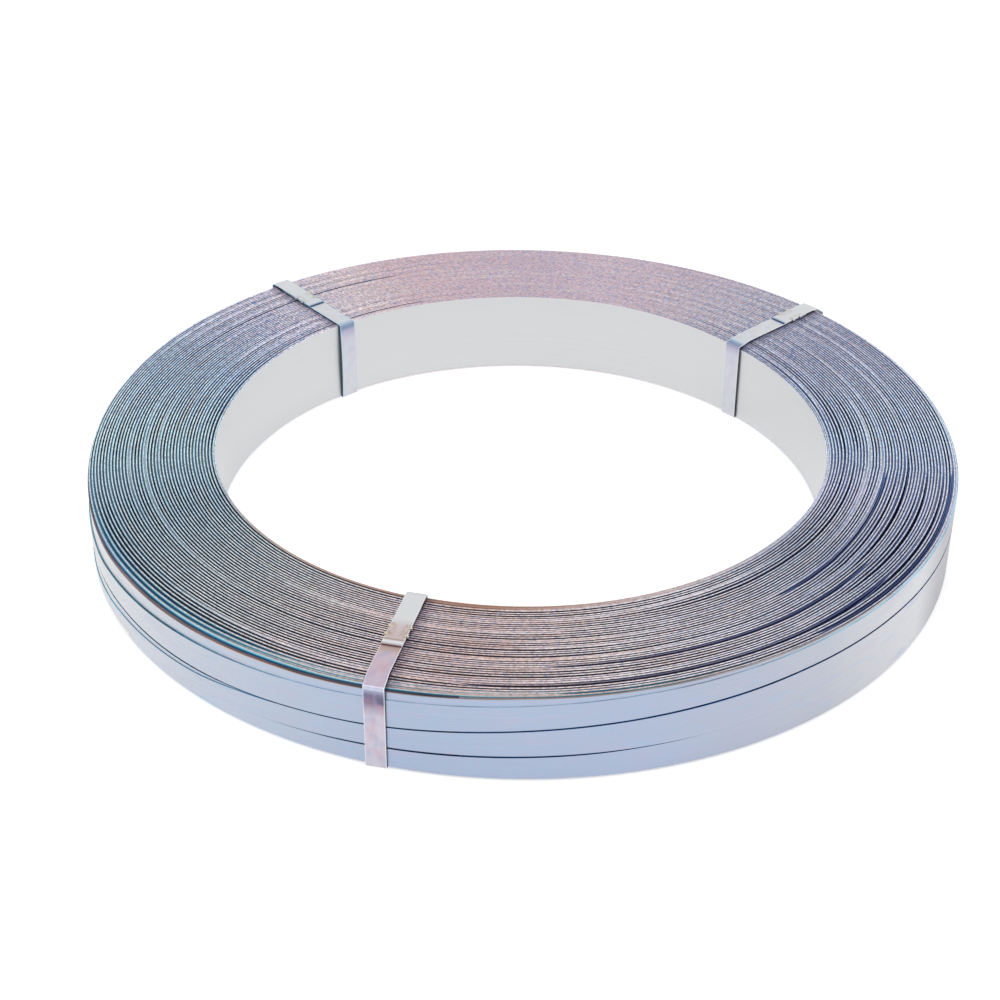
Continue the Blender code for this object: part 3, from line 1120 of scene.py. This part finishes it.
@dataclass
class Winding:
    """The wound strap inside the outer layer: one spiral, every second turn of which sits lower.

    The strap lies three widths abreast, so a turn here is as high as the coil.
    """

    turns: int = 82
    seam_azimuth: float = 90.0
    first_azimuth: float = 253.0
    steps_per_turn: int = 240
    pieces: int = 3
    bevel: float = 0.00012
    rim_reach: float = 6.0
    rim_share: float = 0.84
    bore_reach: float = 5.0
    slack_mm: float = 0.06
    slack_share: float = 0.2
    slack_limit_mm: float = 0.6
    recess_spread: float = 1.2
    recess_limits: tuple[float, float] = (0.2, 2.2)
    gap_dip: float = 3.0
    gap_dip_limit_mm: float = 0.5
    foot_rise_mm: float = 0.1
    foot_recess_share: float = 0.4
    foot_drop_mm: float = 3.0
    openings: tuple[Opening, ...] = OPENINGS
    recess_mm: Table = (
        (0, 1.6), (20, 1.1), (40, 0.35), (60, 0.12), (90, 0.0), (115, 0.12), (130, 0.28), (150, 0.85),
        (165, 1.8), (180, 2.1), (200, 2.7), (230, 2.0), (245, 1.0), (255, 0.6), (270, 0.5), (285, 0.6),
        (300, 0.8), (320, 1.2), (340, 1.5),
    )
    rim_drop_mm: Table = (
        (0, 0.0), (130, 0.0), (150, 0.6), (165, 3.0), (180, 6.5), (190, 10.0), (198, 13.2), (206, 14.2),
        (215, 12.8), (225, 11.8), (232, 10.4), (240, 8.6), (247, 7.7), (258, 5.2), (264, 3.9), (270, 2.6),
        (285, 1.4), (300, 0.4), (315, 0.0),
    )
    bore_drop_mm: Table = (
        (0, 3.0), (20, 3.3), (34, 3.0), (46, 2.2), (60, 0.8), (72, 0.0), (142, 0.0), (152, 0.9),
        (163, 2.2), (174, 3.4), (184, 2.8), (196, 0.4), (204, 0.0), (318, 0.0), (340, 1.8),
    )

    @property
    def outer(self) -> float:
        """Radius of its outer face where it ends."""
        return SIZE.bore + self.turns * SIZE.pitch

    @property
    def last_angle(self) -> float:
        """Running angle where its last turn ends."""
        return self.seam_azimuth + 360.0 * self.turns

    def turn(self, running: np.ndarray) -> np.ndarray:
        """Number of the turn that each running angle lies in."""
        return np.floor((running - self.seam_azimuth) / 360.0)

    def lag(self, running: np.ndarray) -> np.ndarray:
        """How much of a turn is still to come before the strap has moved out by one layer."""
        return 1.0 - np.mod(running - self.seam_azimuth, 360.0) / 360.0

    def radii(self, running: np.ndarray) -> np.ndarray:
        """Radius of the strap's inner face all along the spiral.

        Args:
            running: Running angles.

        Returns:
            The radius at each.
        """
        turn = self.turn(running)
        share = (running - self.seam_azimuth) / 360.0 - turn
        extra, total = np.zeros_like(running), np.zeros_like(running)
        for opening in self.openings:
            width = opening.opened(running) / 2
            for index in (opening.turn, opening.turn + 1):
                extra += width * ((turn > index) + share * (turn == index))
                total += width
        even = SIZE.pitch - total / self.turns
        return SIZE.bore + (turn + share) * even + extra

    def envelope(self, running: np.ndarray) -> np.ndarray:
        """Height of the coil's upper end over each turn, which falls away to the rim and to the bore.

        Args:
            running: Running angles.

        Returns:
            The height at each.
        """
        turn = self.turn(running)
        near_rim = self.rim_share * np.exp((turn - self.turns) / self.rim_reach)
        near_bore = np.exp(-np.maximum(turn, 0.0) / self.bore_reach)
        drop = around(self.rim_drop_mm, running) * near_rim + around(self.bore_drop_mm, running) * near_bore
        return SIZE.top - drop * MM

    def edges(self, running: np.ndarray) -> tuple[np.ndarray, np.ndarray]:
        """Heights of the strap's two edges: uneven, with every second turn recessed.

        Args:
            running: Running angles.

        Returns:
            Lower and upper heights.
        """
        turn = self.turn(running)
        odd = turn % 2 * (turn > 1)
        recess = around(self.recess_mm, running) * MM
        slack = self.slack_mm * MM + self.slack_share * np.minimum(recess, self.slack_limit_mm * MM)
        recessed = np.clip(1.0 + self.recess_spread * wander(running, 2.0), *self.recess_limits)
        high = self.envelope(running) - slack * (1.0 + wander(running, 1.0)) - odd * recess * recessed
        for opening in self.openings:
            gap = np.minimum(opening.opened(running), self.gap_dip_limit_mm * MM)
            high -= (turn == opening.turn) * opening.dived(running)
            high -= (turn == opening.turn + 1) * gap * self.gap_dip
        rise = self.foot_rise_mm * MM * (1.0 + wander(running, 3.0))
        return SIZE.bottom + rise + odd * self.foot_recess_share * recess, high

    def sides(self, running: np.ndarray, crest: np.ndarray) -> np.ndarray:
        """Material numbers of the strap's sides all along the spiral.

        Args:
            running: Running angles.
            crest: Height of the coil's upper end at each.

        Returns:
            Six numbers for each run of strap between two angles.
        """
        runs = running[:-1]
        edge, painted_flat = WoundSide.EDGE, WoundSide.PAINTED_FLAT
        sides = np.tile([edge, painted_flat, edge, edge, edge, painted_flat], (len(runs), 1))
        sides[runs < self.first_azimuth + 360.0, 5] = WoundSide.BORE
        last_turn = runs > self.last_angle - 360.0
        stepped = last_turn & (crest[:-1] < SIZE.top - self.foot_drop_mm * MM)
        sides[last_turn & ~stepped, 1] = WoundSide.SEAM_FLOOR
        sides[stepped, 1:5] = WoundSide.RIM_FOOT
        return sides

    def build(self) -> list[bpy.types.Object]:
        """Builds the spiral as a few pieces, each but the first a whole number of turns.

        Returns:
            The pieces.
        """
        steps = round((self.last_angle - self.first_azimuth) / 360.0 * self.steps_per_turn)
        running = self.first_azimuth + np.arange(steps + 1) * (360.0 / self.steps_per_turn)
        crest, (low, high) = self.envelope(running), self.edges(running)
        sides = self.sides(running, crest)
        whole = strap_sweep(running, self.radii(running), low, high, sides, self.bevel, crest)
        # In the order of WoundSide.
        finishes = (SlitEdge(), PaintedGlintAndShadeFlat(), BoreFlat(), SEAM_FLOOR, RIM_FOOT)
        materials = [finish.material() for finish in finishes]
        turns_left = [round(self.turns * part / self.pieces) for part in reversed(range(self.pieces))]
        cuts = [0, *(steps - left * self.steps_per_turn for left in turns_left)]
        return [
            make_piece(f"wound_turns_{number}", [whole.part(start, end)], materials)
            for number, (start, end) in enumerate(zip(cuts, cuts[1:]), 1)
        ]


class OuterSide(IntEnum):
    """Number of an outer strap's material."""

    FACE = 0
    SEAM = 1
    EDGE = 2
    FREE_EDGE = 3
    RIM_CORNER = 4
    RIM_EDGE = 5


@dataclass
class OuterLayer:
    """The outermost strap: three turns, each of which crosses to the next width on the near side.

    Its edges, its seams and the wedge between its lower widths are given in millimetres, by running angle.
    The first turn lies lowest, and each edge is a height over the coil's lower end.
    """

    winding: Winding
    start: float = 213.0
    end: float = 1218.0
    step: float = 1.5
    fine_bevel: float = 0.00003
    rim_bevel: float = 0.0003
    settle_angle: float = 60.0
    blend_from: float = 852.0
    blend_angle: float = 9.0
    lap_mm: float = 0.02
    rim_angles: tuple[float, float] = (500.0, 860.1)
    rim_low_limit_mm: float = 56.0
    rim_lap_mm: float = 3.0
    rim_sink_mm: float = 0.1
    least_height_mm: float = 0.1
    swell: float = 0.45
    swelling: Table = ((586, 0.0), (602, 1.0), (700, 1.0), (730, 0.0))
    stepped_angles: tuple[float, float] = (540.0, 680.0)
    wedge_angles: tuple[float, float] = (499.5, 600.1)
    lower_mm: Table = (
        (213, 0.4), (552, 0.4), (566, 1.2), (584, 5.6), (602.5, 10.8), (612.5, 13.7), (630, 16.5),
        (647.5, 17.9), (665, 19.0), (690, 20.0), (810, 19.6), (885, 18.0), (915, 17.4), (925, 17.7),
        (932, 18.9), (940, 19.8), (948, 21.2), (956, 23.3), (964, 25.7), (972.5, 28.2), (990, 34.7),
        (1002, 38.0), (1015, 40.7), (1027, 42.0), (1040, 41.6), (1050, 40.0), (1060, 38.4), (1080, 37.6),
        (1170, 39.2), (1218, 40.6),
    )
    upper_mm: Table = (
        (858, 40.0), (896, 33.4), (922, 30.6), (930, 34.0), (945, 38.9), (960, 43.3), (972.5, 46.9),
        (982, 49.3), (990, 51.2), (1000, 53.5), (1008, 54.8), (1027, 56.8), (1080, 57.6), (1170, 58.0),
        (1218, 58.0),
    )
    seam_mm: Table = (
        (566, 0.00), (597, 0.00), (604, 0.30), (612, 1.10), (622, 1.30), (636, 1.10), (646, 0.40),
        (653, 0.00), (885, 0.00), (900, 2.60), (918, 3.20), (925, 3.10), (932, 2.40), (940, 2.10),
        (948, 1.80), (956, 1.10), (964, 0.75), (974, 1.00), (1000, 1.20), (1015, 1.40), (1030, 1.30),
        (1056, 1.60), (1080, 1.30), (1140, 0.45), (1218, 0.45),
    )
    wedge_mm: Table = (
        (498, 0.0), (515, 3.0), (535, 7.0), (552, 8.6), (558, 8.0), (565, 6.3), (572, 4.6), (580, 3.2),
        (588, 2.4), (596, 0.6), (601, 0.0),
    )

    def inner(self, running: np.ndarray, layer: Union[float, np.ndarray]) -> np.ndarray:
        """Radius of a strap's inner face on the wound turns, following their spiral.

        Args:
            running: Running angles.
            layer: 0 for the layer next to the wound turns, 1 for the outermost, or in between.

        Returns:
            The radius at each.
        """
        past = np.mod(running - self.winding.seam_azimuth, 360.0)
        settle = np.clip(past / self.settle_angle, 0.0, 1.0)
        lag = self.winding.lag(running) * settle * settle * (3.0 - 2.0 * settle)
        air = SIZE.pitch - SIZE.thickness
        return self.winding.outer + (layer - lag) * SIZE.pitch + air

    def under_next(self, running: np.ndarray) -> np.ndarray:
        """How high the strap may reach under its own next turn, in millimetres, by running angle."""
        return flowing(self.lower_mm, running + 360.0) - flowing(self.seam_mm, running + 360.0)

    def strap(self) -> Sweep:
        """The outermost strap itself.

        Returns:
            The closed skin.
        """
        running = np.arange(self.start, self.end + self.step / 2, self.step)
        free = np.clip((running - self.blend_from) / self.blend_angle, 0.0, 1.0)
        covered = self.under_next(running) - flowing(self.wedge_mm, running)
        high = covered * (1 - free) + flowing(self.upper_mm, running) * free
        low = flowing(self.lower_mm, running)
        face, seam = OuterSide.FACE, OuterSide.SEAM
        sides = np.tile([seam, face, seam, seam, seam, seam], (len(running) - 1, 1))
        sides[running[:-1] > self.end - 360.0, 2:5] = OuterSide.FREE_EDGE
        low, high = SIZE.bottom + low * MM, SIZE.bottom + high * MM
        return strap_sweep(running, self.inner(running, 1), low, high, sides, self.fine_bevel)

    def under_rim(self) -> Sweep:
        """The layer below, where it shows above the outermost strap.

        Returns:
            The closed skin.
        """
        running = np.arange(*self.rim_angles, self.step)
        last_turn = np.where(running < self.end - 360.0, running + 360.0, running)
        out = self.swell * flowing(self.swelling, running)
        lap = self.rim_lap_mm * (out < 0.05) - self.lap_mm
        low = np.minimum(flowing(self.upper_mm, last_turn), self.rim_low_limit_mm) - lap
        drop = around(self.winding.rim_drop_mm, running) + self.rim_sink_mm
        face, seam, edge = OuterSide.FACE, OuterSide.SEAM, OuterSide.EDGE
        sides = np.tile([seam, face, edge, edge, edge, seam], (len(running) - 1, 1))
        start, end = self.stepped_angles
        stepped = (running[:-1] > start) & (running[:-1] < end)
        sides[stepped, 2:5] = (OuterSide.RIM_CORNER, OuterSide.RIM_EDGE, OuterSide.RIM_EDGE)
        low, high = SIZE.bottom + low * MM, SIZE.top - drop * MM
        return strap_sweep(running, self.inner(running, out), low, high, sides, self.rim_bevel)

    def under_wedge(self) -> Sweep:
        """The layer below, where the two lower widths leave a narrow wedge open.

        Returns:
            The closed skin.
        """
        running = np.arange(*self.wedge_angles, self.step)
        top = self.under_next(running)
        low = SIZE.bottom + (top - flowing(self.wedge_mm, running) + self.lap_mm) * MM
        high = np.maximum(SIZE.bottom + top * MM, low + self.least_height_mm * MM)
        face, seam = OuterSide.FACE, OuterSide.SEAM
        sides = np.tile([seam, face, seam, seam, seam, seam], (len(running) - 1, 1))
        return strap_sweep(running, self.inner(running, 0.5), low, high, sides, self.fine_bevel)

    def build(self) -> list[bpy.types.Object]:
        """Builds the outermost strap and what shows of the layer below.

        Returns:
            The pieces.
        """
        # In the order of OuterSide.
        finishes = (OuterFlat(), SeamEdge(), SlitEdge(), FREE_EDGE, RIM_CORNER, RIM_EDGE)
        materials = [finish.material() for finish in finishes]
        skins = {
            "outer_strap": self.strap(),
            "layer_below_rim": self.under_rim(),
            "layer_below_wedge": self.under_wedge(),
        }
        return [make_piece(name, [skin], materials) for name, skin in skins.items()]


@dataclass
class Tie:
    """One narrow tie round the coil's section, laid out in its own plane: x outwards, z up.

    The strap runs from the free end of its joint round the section to the end under the joint.
    Its edge tabs are cut through both layers at the joint and bent up together.
    A stand-off holds its bend off the rim, a bow holds its leg off the bore, and a dip lowers a bend.
    """

    name: str
    node: str
    place: TiePlace
    end_from_bore: float
    finish: TieFace
    over_bore: bool = False
    stand_off: float = 0.0
    bow: float = 0.0
    rim_dip: float = 0.0
    bore_dip: float = 0.0
    width: float = 0.0127
    thickness: float = 0.0005
    seat_gap: float = 0.0003
    overlap_gap: float = 0.00015
    hidden_end: float = 0.012
    bend_radius: float = 0.001
    soft_radius: float = 0.008
    bevel: float = 0.00012
    longest_step: float = 0.003
    bend_steps: int = 8
    bow_steps: int = 12
    least_bend: float = 0.3
    joint_length: float = 0.021
    crest_inset: float = 0.006
    crest_overhang: float = 0.001
    crest_droop: float = 0.05
    rim_droop: float = 0.75
    rim_dip_length: float = 0.0095
    bore_dip_length: float = 0.011
    tab_places: tuple[float, ...] = (0.010, 0.018)
    tab_length: float = 0.0026
    tab_depth: float = 0.0014
    tab_root_lap: float = 0.0004
    tab_play: float = 0.0001
    tab_taper: float = 0.12
    tab_plates: int = 5
    tab_reaches: tuple[float, float] = (0.0028, 0.0026)
    tab_tilts: tuple[float, float] = (26.0, 42.0)
    tab_unevenness: float = 7.0
    notch_slope: float = 0.00002

    @property
    def half_turn_in(self) -> float:
        """How much nearer to the coil the lean brings one edge of the strap's upright legs.

        Returns:
            The distance in metres.
        """
        lean = math.radians(abs(self.place.lean))
        build = SIZE.outer - SIZE.bore
        return math.sin(lean) * self.width / 2 + (1 - math.cos(lean)) * build / 2

    @property
    def inner_x(self) -> float:
        """Where the strap's middle runs down the bore.

        Returns:
            Its distance from the axis.
        """
        lean = math.radians(abs(self.place.lean))
        reach = self.width / 2 + math.sin(lean) * (SIZE.outer - SIZE.bore) / 2
        return math.sqrt(SIZE.bore**2 - reach**2) - self.half_turn_in - self.seat_gap - self.thickness / 2

    @property
    def outer_x(self) -> float:
        """Where it runs down the outer side."""
        return SIZE.outer + self.half_turn_in + self.seat_gap + self.thickness / 2

    @property
    def lower_z(self) -> float:
        """Height of the joint's lower layer."""
        return SIZE.top + self.seat_gap + self.thickness / 2

    @property
    def upper_z(self) -> float:
        """Height of the joint's upper layer."""
        return self.lower_z + self.thickness + self.overlap_gap

    @property
    def end_x(self) -> float:
        """Where the joint's free end lies."""
        return SIZE.bore + self.end_from_bore

    @property
    def joint_reach(self) -> float:
        """How far the two ends of the strap overlap."""
        hidden = SIZE.bore + self.hidden_end if self.over_bore else SIZE.outer - self.hidden_end
        return abs(self.end_x - hidden)

    def corners(self) -> list[tuple[float, float, float]]:
        """The route's corners from the free end to the hidden one, each with its bend radius.

        Returns:
            Corners as x, z and radius.
        """
        inner, outer, floor = self.inner_x, self.outer_x, self.thickness / 2
        low, high = self.lower_z, self.upper_z
        bend, soft = self.bend_radius, self.soft_radius
        if self.over_bore:
            return [
                (self.end_x, high, 0.0),
                (inner, high, bend),
                *self.bore_leg(high),
                (inner, floor, bend),
                (outer, floor, bend),
                (outer, low - self.rim_dip, bend),
                (SIZE.outer - self.rim_dip_length, low, soft),
                (SIZE.bore + self.hidden_end, low, 0.0),
            ]
        return [
            (self.end_x, high, 0.0),
            (self.end_x + self.joint_length, high, soft),
            (SIZE.outer - self.crest_inset, high, soft),
            (SIZE.outer + self.crest_overhang, high - self.stand_off * self.crest_droop, soft / 2),
            (outer + self.stand_off, high - self.stand_off * self.rim_droop, bend),
            (outer, floor, bend),
            (inner, floor, bend),
            *reversed(list(self.bore_leg(low - self.bore_dip))),
            (inner, low - self.bore_dip, bend),
            (SIZE.bore + self.bore_dip_length, low, soft),
            (SIZE.outer - self.hidden_end, low, 0.0),
        ]

    def bore_leg(self, top: float) -> Iterator[tuple[float, float, float]]:
        """Points down the bore: the strap may bow off the wall, most of all halfway down.

        Args:
            top: Height that it comes down from.

        Yields:
            Points as x, z and no bend.
        """
        for share in np.linspace(0, 1, self.bow_steps + 1)[1:-1]:
            x = self.inner_x - self.bow * math.sin(math.pi * share)
            yield x, top + share * (self.thickness / 2 - top), 0.0

    def route(self) -> np.ndarray:
        """The strap's middle line with its bends rounded, in short steps.

        Returns:
            Points as x and z.
        """
        corners = self.corners()
        path = [Vector(corners[0][:2])]
        for before, (x, z, radius), after in zip(corners, corners[1:], corners[2:]):
            corner = Vector((x, z))
            back = (Vector(before[:2]) - corner).normalized()
            onward = (Vector(after[:2]) - corner).normalized()
            turn = math.pi - back.angle(onward)
            if not radius or turn < math.radians(self.least_bend):
                path.append(corner)
                continue
            setback = radius * math.tan(turn / 2)
            centre = corner + (back + onward).normalized() * (radius / math.cos(turn / 2))
            first, last = corner + back * setback - centre, corner + onward * setback - centre
            shares = np.linspace(0, 1, self.bend_steps + 1)
            path += [centre + first.slerp(last, share) * radius for share in shares]
        path.append(Vector(corners[-1][:2]))
        fine = [path[0]]
        for start, end in zip(path, path[1:]):
            parts = max(1, math.ceil((end - start).length / self.longest_step))
            fine += [start.lerp(end, part / parts) for part in range(1, parts + 1)]
        return np.array([[p.x, p.y] for p in fine])

    def placed(self, points: np.ndarray) -> np.ndarray:
        """Moves points from the tie's own plane to its place: leant in mid-build and turned round the axis.

        Args:
            points: The points.

        Returns:
            The moved points.
        """
        to_middle = Matrix.Translation((SIZE.middle, 0, 0))
        lean = to_middle @ Matrix.Rotation(math.radians(self.place.lean), 4, "Z") @ to_middle.inverted()
        matrix = np.array(Matrix.Rotation(math.radians(self.place.azimuth), 4, "Z") @ lean)
        return points @ matrix[:3, :3].T + matrix[:3, 3]

    def notches(self, total: float) -> list[float]:
        """Middles of the notches that the joint's tabs leave in both layers.

        Args:
            total: The strap's whole length.

        Returns:
            Metres from the free end.
        """
        hidden = [total - (self.joint_reach - place) for place in self.tab_places]
        return [*self.tab_places, *hidden]

    def ribbon(self) -> Sweep:
        """The strap itself, with slightly rounded edges and the joint's notches.

        Returns:
            The closed skin.
        """
        route = self.route()
        along = np.concatenate([[0.0], np.cumsum(np.linalg.norm(np.diff(route, axis=0), axis=1))])
        reach, slope = self.tab_length / 2, self.notch_slope
        notches = self.notches(along[-1])
        ends = [notch + side * reach for notch in notches for side in (-1, 1)]
        cuts = [end + way for end in ends for way in (-slope, slope)]
        stations = np.unique(np.concatenate([along, cuts]))
        x, z = (np.interp(stations, along, values) for values in route.T)
        tangent = np.stack([np.gradient(x, stations), np.gradient(z, stations)], -1)
        tangent /= np.linalg.norm(tangent, axis=1)[:, None]
        half = np.full_like(stations, self.width / 2)
        for notch in notches:
            half[np.abs(stations - notch) < reach] -= self.tab_depth
        sections, across = [], []
        for side, face in ((-1, -1), (1, -1), (1, 1), (-1, 1)):
            for inset, lower in ((0.0, self.bevel), (self.bevel, 0.0))[:: side * face]:
                lift = face * (self.thickness / 2 - lower)
                across.append(side * (half - inset))
                moved = (x - tangent[:, 1] * lift, across[-1], z + tangent[:, 0] * lift)
                sections.append(np.stack(moved, -1))
        finishes = np.zeros((len(stations) - 1, len(sections)), int)
        return Sweep(self.placed(np.stack(sections, 1)), stations, np.stack(across, 1), finishes, True)

    def tabs(self) -> Iterator[Sweep]:
        """The bent edge tabs, one plate for each layer of each.

        Yields:
            The closed skin of each plate.
        """
        outwards = -1 if self.over_bore else 1
        for index, place in enumerate(self.tab_places):
            for side in (-1, 1):
                uneven = self.tab_unevenness * ((index + (side > 0)) % 2)
                layers = zip((self.lower_z, self.upper_z), self.tab_tilts, self.tab_reaches)
                for base, tilt, reach in layers:
                    yield self.tab(self.end_x + outwards * place, side, base, tilt + uneven, reach)

    def tab(self, x: float, side: int, base: float, tilt: float, reach: float) -> Sweep:
        """One tab, curling up from its root and narrowing a little to its tip.

        Args:
            x: Its middle along the radius.
            side: -1 or 1, the strap's edge that it hangs from.
            base: Height of its layer's middle.
            tilt: Degrees that its tip is turned up.
            reach: Its length from root to tip.

        Returns:
            The closed skin.
        """
        thick, plates = self.thickness / 2, self.tab_plates
        y, z = self.width / 2 - self.tab_depth - self.tab_root_lap, base
        sections = []
        for share in np.linspace(0, 1, plates + 1):
            angle = math.radians(tilt) * share
            across, up = -math.sin(angle) * thick, math.cos(angle) * thick
            length = (self.tab_length / 2 - self.tab_play) * (1.0 - self.tab_taper * share)
            sections.append(
                [
                    (x + end * length, side * (y + face * across), z + face * up)
                    for end, face in ((-1, -1), (1, -1), (1, 1), (-1, 1))
                ]
            )
            y += math.cos(angle) * reach / plates
            z += math.sin(angle) * reach / plates
        along = np.full(plates + 1, self.tab_places[0])
        across_map = np.full((plates + 1, 4), self.width / 2)
        sections, finishes = self.placed(np.array(sections)), np.ones((plates, 4), int)
        return Sweep(sections, along, across_map, finishes, mirrored=side < 0)

    def build(self) -> bpy.types.Object:
        """Builds the tie in place of its CAD node.

        Returns:
            The piece.
        """
        materials = [self.finish.material(), TAB_STEEL.material()]
        piece = make_piece(self.name, [self.ribbon(), *self.tabs()], materials)
        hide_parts(self.node)
        return piece


@dataclass
class Studio:
    """Plain pale floor, soft light and the camera where the photograph was taken from."""

    lens_mm: float = 70.524
    distance: float = 1.349
    elevation: float = 32.29
    roll: float = 0.0123
    shift_x: float = -0.02077
    shift_y: float = 0.0056
    floor_half: float = 4.0
    ambient: float = 0.62
    floor_glow: float = 0.52

    def camera(self) -> bpy.types.Object:
        """Sets up the camera.

        Returns:
            The camera, which is the scene's own.
        """
        data = bpy.data.cameras.new("camera")
        data.lens = self.lens_mm
        data.sensor_width = 36.0
        data.shift_x = self.shift_x
        data.shift_y = self.shift_y
        camera = added("camera", data)
        tilt = Matrix.Rotation(math.radians(90.0 - self.elevation), 4, "X")
        turn = tilt @ Matrix.Rotation(self.roll, 4, "Z")
        back = Matrix.Translation((0, 0, self.distance))
        camera.matrix_world = Matrix.Translation((0, 0, SIZE.bottom)) @ turn @ back
        bpy.context.scene.camera = camera
        return camera

    def seen(self, brush: Brush, unseen: float, seen: float) -> Output:
        """A value that differs between what the eye sees and what lights the coil.

        Args:
            brush: The brush on the node tree.
            unseen: Its value for the light that falls on things.
            seen: Its value for rays from the camera, off metal or through glass.

        Returns:
            The value.
        """
        rays = brush.add("LightPath", out="Is Camera Ray")
        for name in ("Is Glossy Ray", "Is Transmission Ray"):
            rays = brush.add("Math", {"operation": "MAXIMUM", 0: rays, 1: brush.add("LightPath", out=name)})
        return brush.add("MapRange", {0: rays, 1: 0.0, 2: 1.0, 3: unseen, 4: seen})

    def world(self) -> None:
        """White to the eye and in reflections, and dimmer as a light."""
        world = bpy.data.worlds.new("studio")
        world.use_nodes = True
        brush = Brush(world.node_tree)
        background = brush.tree.nodes["Background"].inputs
        background["Color"].default_value = WHITE
        brush.tree.links.new(self.seen(brush, self.ambient, 1.0), background["Strength"])
        bpy.context.scene.world = world

    def floor(self) -> bpy.types.Object:
        """A white sweep of paper that still takes the coil's shadow.

        Returns:
            The floor.
        """
        half = self.floor_half
        corners = [(-half, -half, 0), (half, -half, 0), (half, half, 0), (-half, half, 0)]
        mesh = bpy.data.meshes.new("floor")
        mesh.from_pydata(corners, [], [(0, 1, 2, 3)])
        material = bpy.data.materials.new("studio_paper")
        material.use_nodes = True
        brush = Brush(material.node_tree)
        brush.tree.nodes.remove(brush.tree.nodes["Principled BSDF"])
        paper = brush.add("BsdfDiffuse", {"Color": (0.8, 0.8, 0.8, 1.0)})
        lift = self.seen(brush, 0.0, self.floor_glow)
        glow = brush.add("Emission", {"Color": WHITE, "Strength": lift})
        both = brush.add("AddShader", {0: paper, 1: glow})
        brush.tree.links.new(both, brush.tree.nodes["Material Output"].inputs["Surface"])
        mesh.materials.append(material)
        floor = added("floor", mesh)
        return floor

    def lamp(self, name: str, place: Vector, size: float, watts: float) -> bpy.types.Object:
        """A square soft box that faces the coil.

        Args:
            name: The lamp's name.
            place: Where it hangs.
            size: Its side.
            watts: Its power.

        Returns:
            The lamp.
        """
        data = bpy.data.lights.new(name, "AREA")
        data.size = size
        data.energy = watts
        lamp = added(name, data)
        lamp.location = place
        lamp.rotation_euler = (-place).to_track_quat("-Z", "Y").to_euler()
        return lamp

    def build(self) -> None:
        """Sets up camera, world, floor and lamps."""
        self.camera()
        self.world()
        self.floor()
        self.lamp("key", Vector((-1.4, -1.0, 2.2)), 1.6, 14.0)
        self.lamp("fill", Vector((1.6, 0.4, 1.8)), 1.6, 7.0)


def main() -> None:
    """Builds the coil's pieces in order and sets the stage."""
    logging.basicConfig(level=logging.INFO, format="%(message)s")
    winding = Winding()
    wound_turns = winding.build()
    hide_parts("strapping_coil")
    OuterLayer(winding).build()
    right = side_face("zinc_coated_tie_right", 253.0, "#e0e6ea")
    left = side_face("zinc_coated_tie_left", 258.0, "#a8d6e8")
    ties = (
        Tie("front_tie", "tie_front", FRONT, 0.0525, FRONT_FACE, over_bore=True, rim_dip=0.0032),
        Tie("right_tie", "tie_right", RIGHT, 0.0492, right, stand_off=0.008, bow=0.0002, bore_dip=0.0019),
        Tie("left_tie", "tie_left", LEFT, 0.0380, left, stand_off=0.002, bow=0.001),
    )
    for tie in ties:
        tie.build()
    Studio().build()
    bpy.context.scene.view_settings.view_transform = "Standard"


if __name__ == "__main__":
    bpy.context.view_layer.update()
    main()
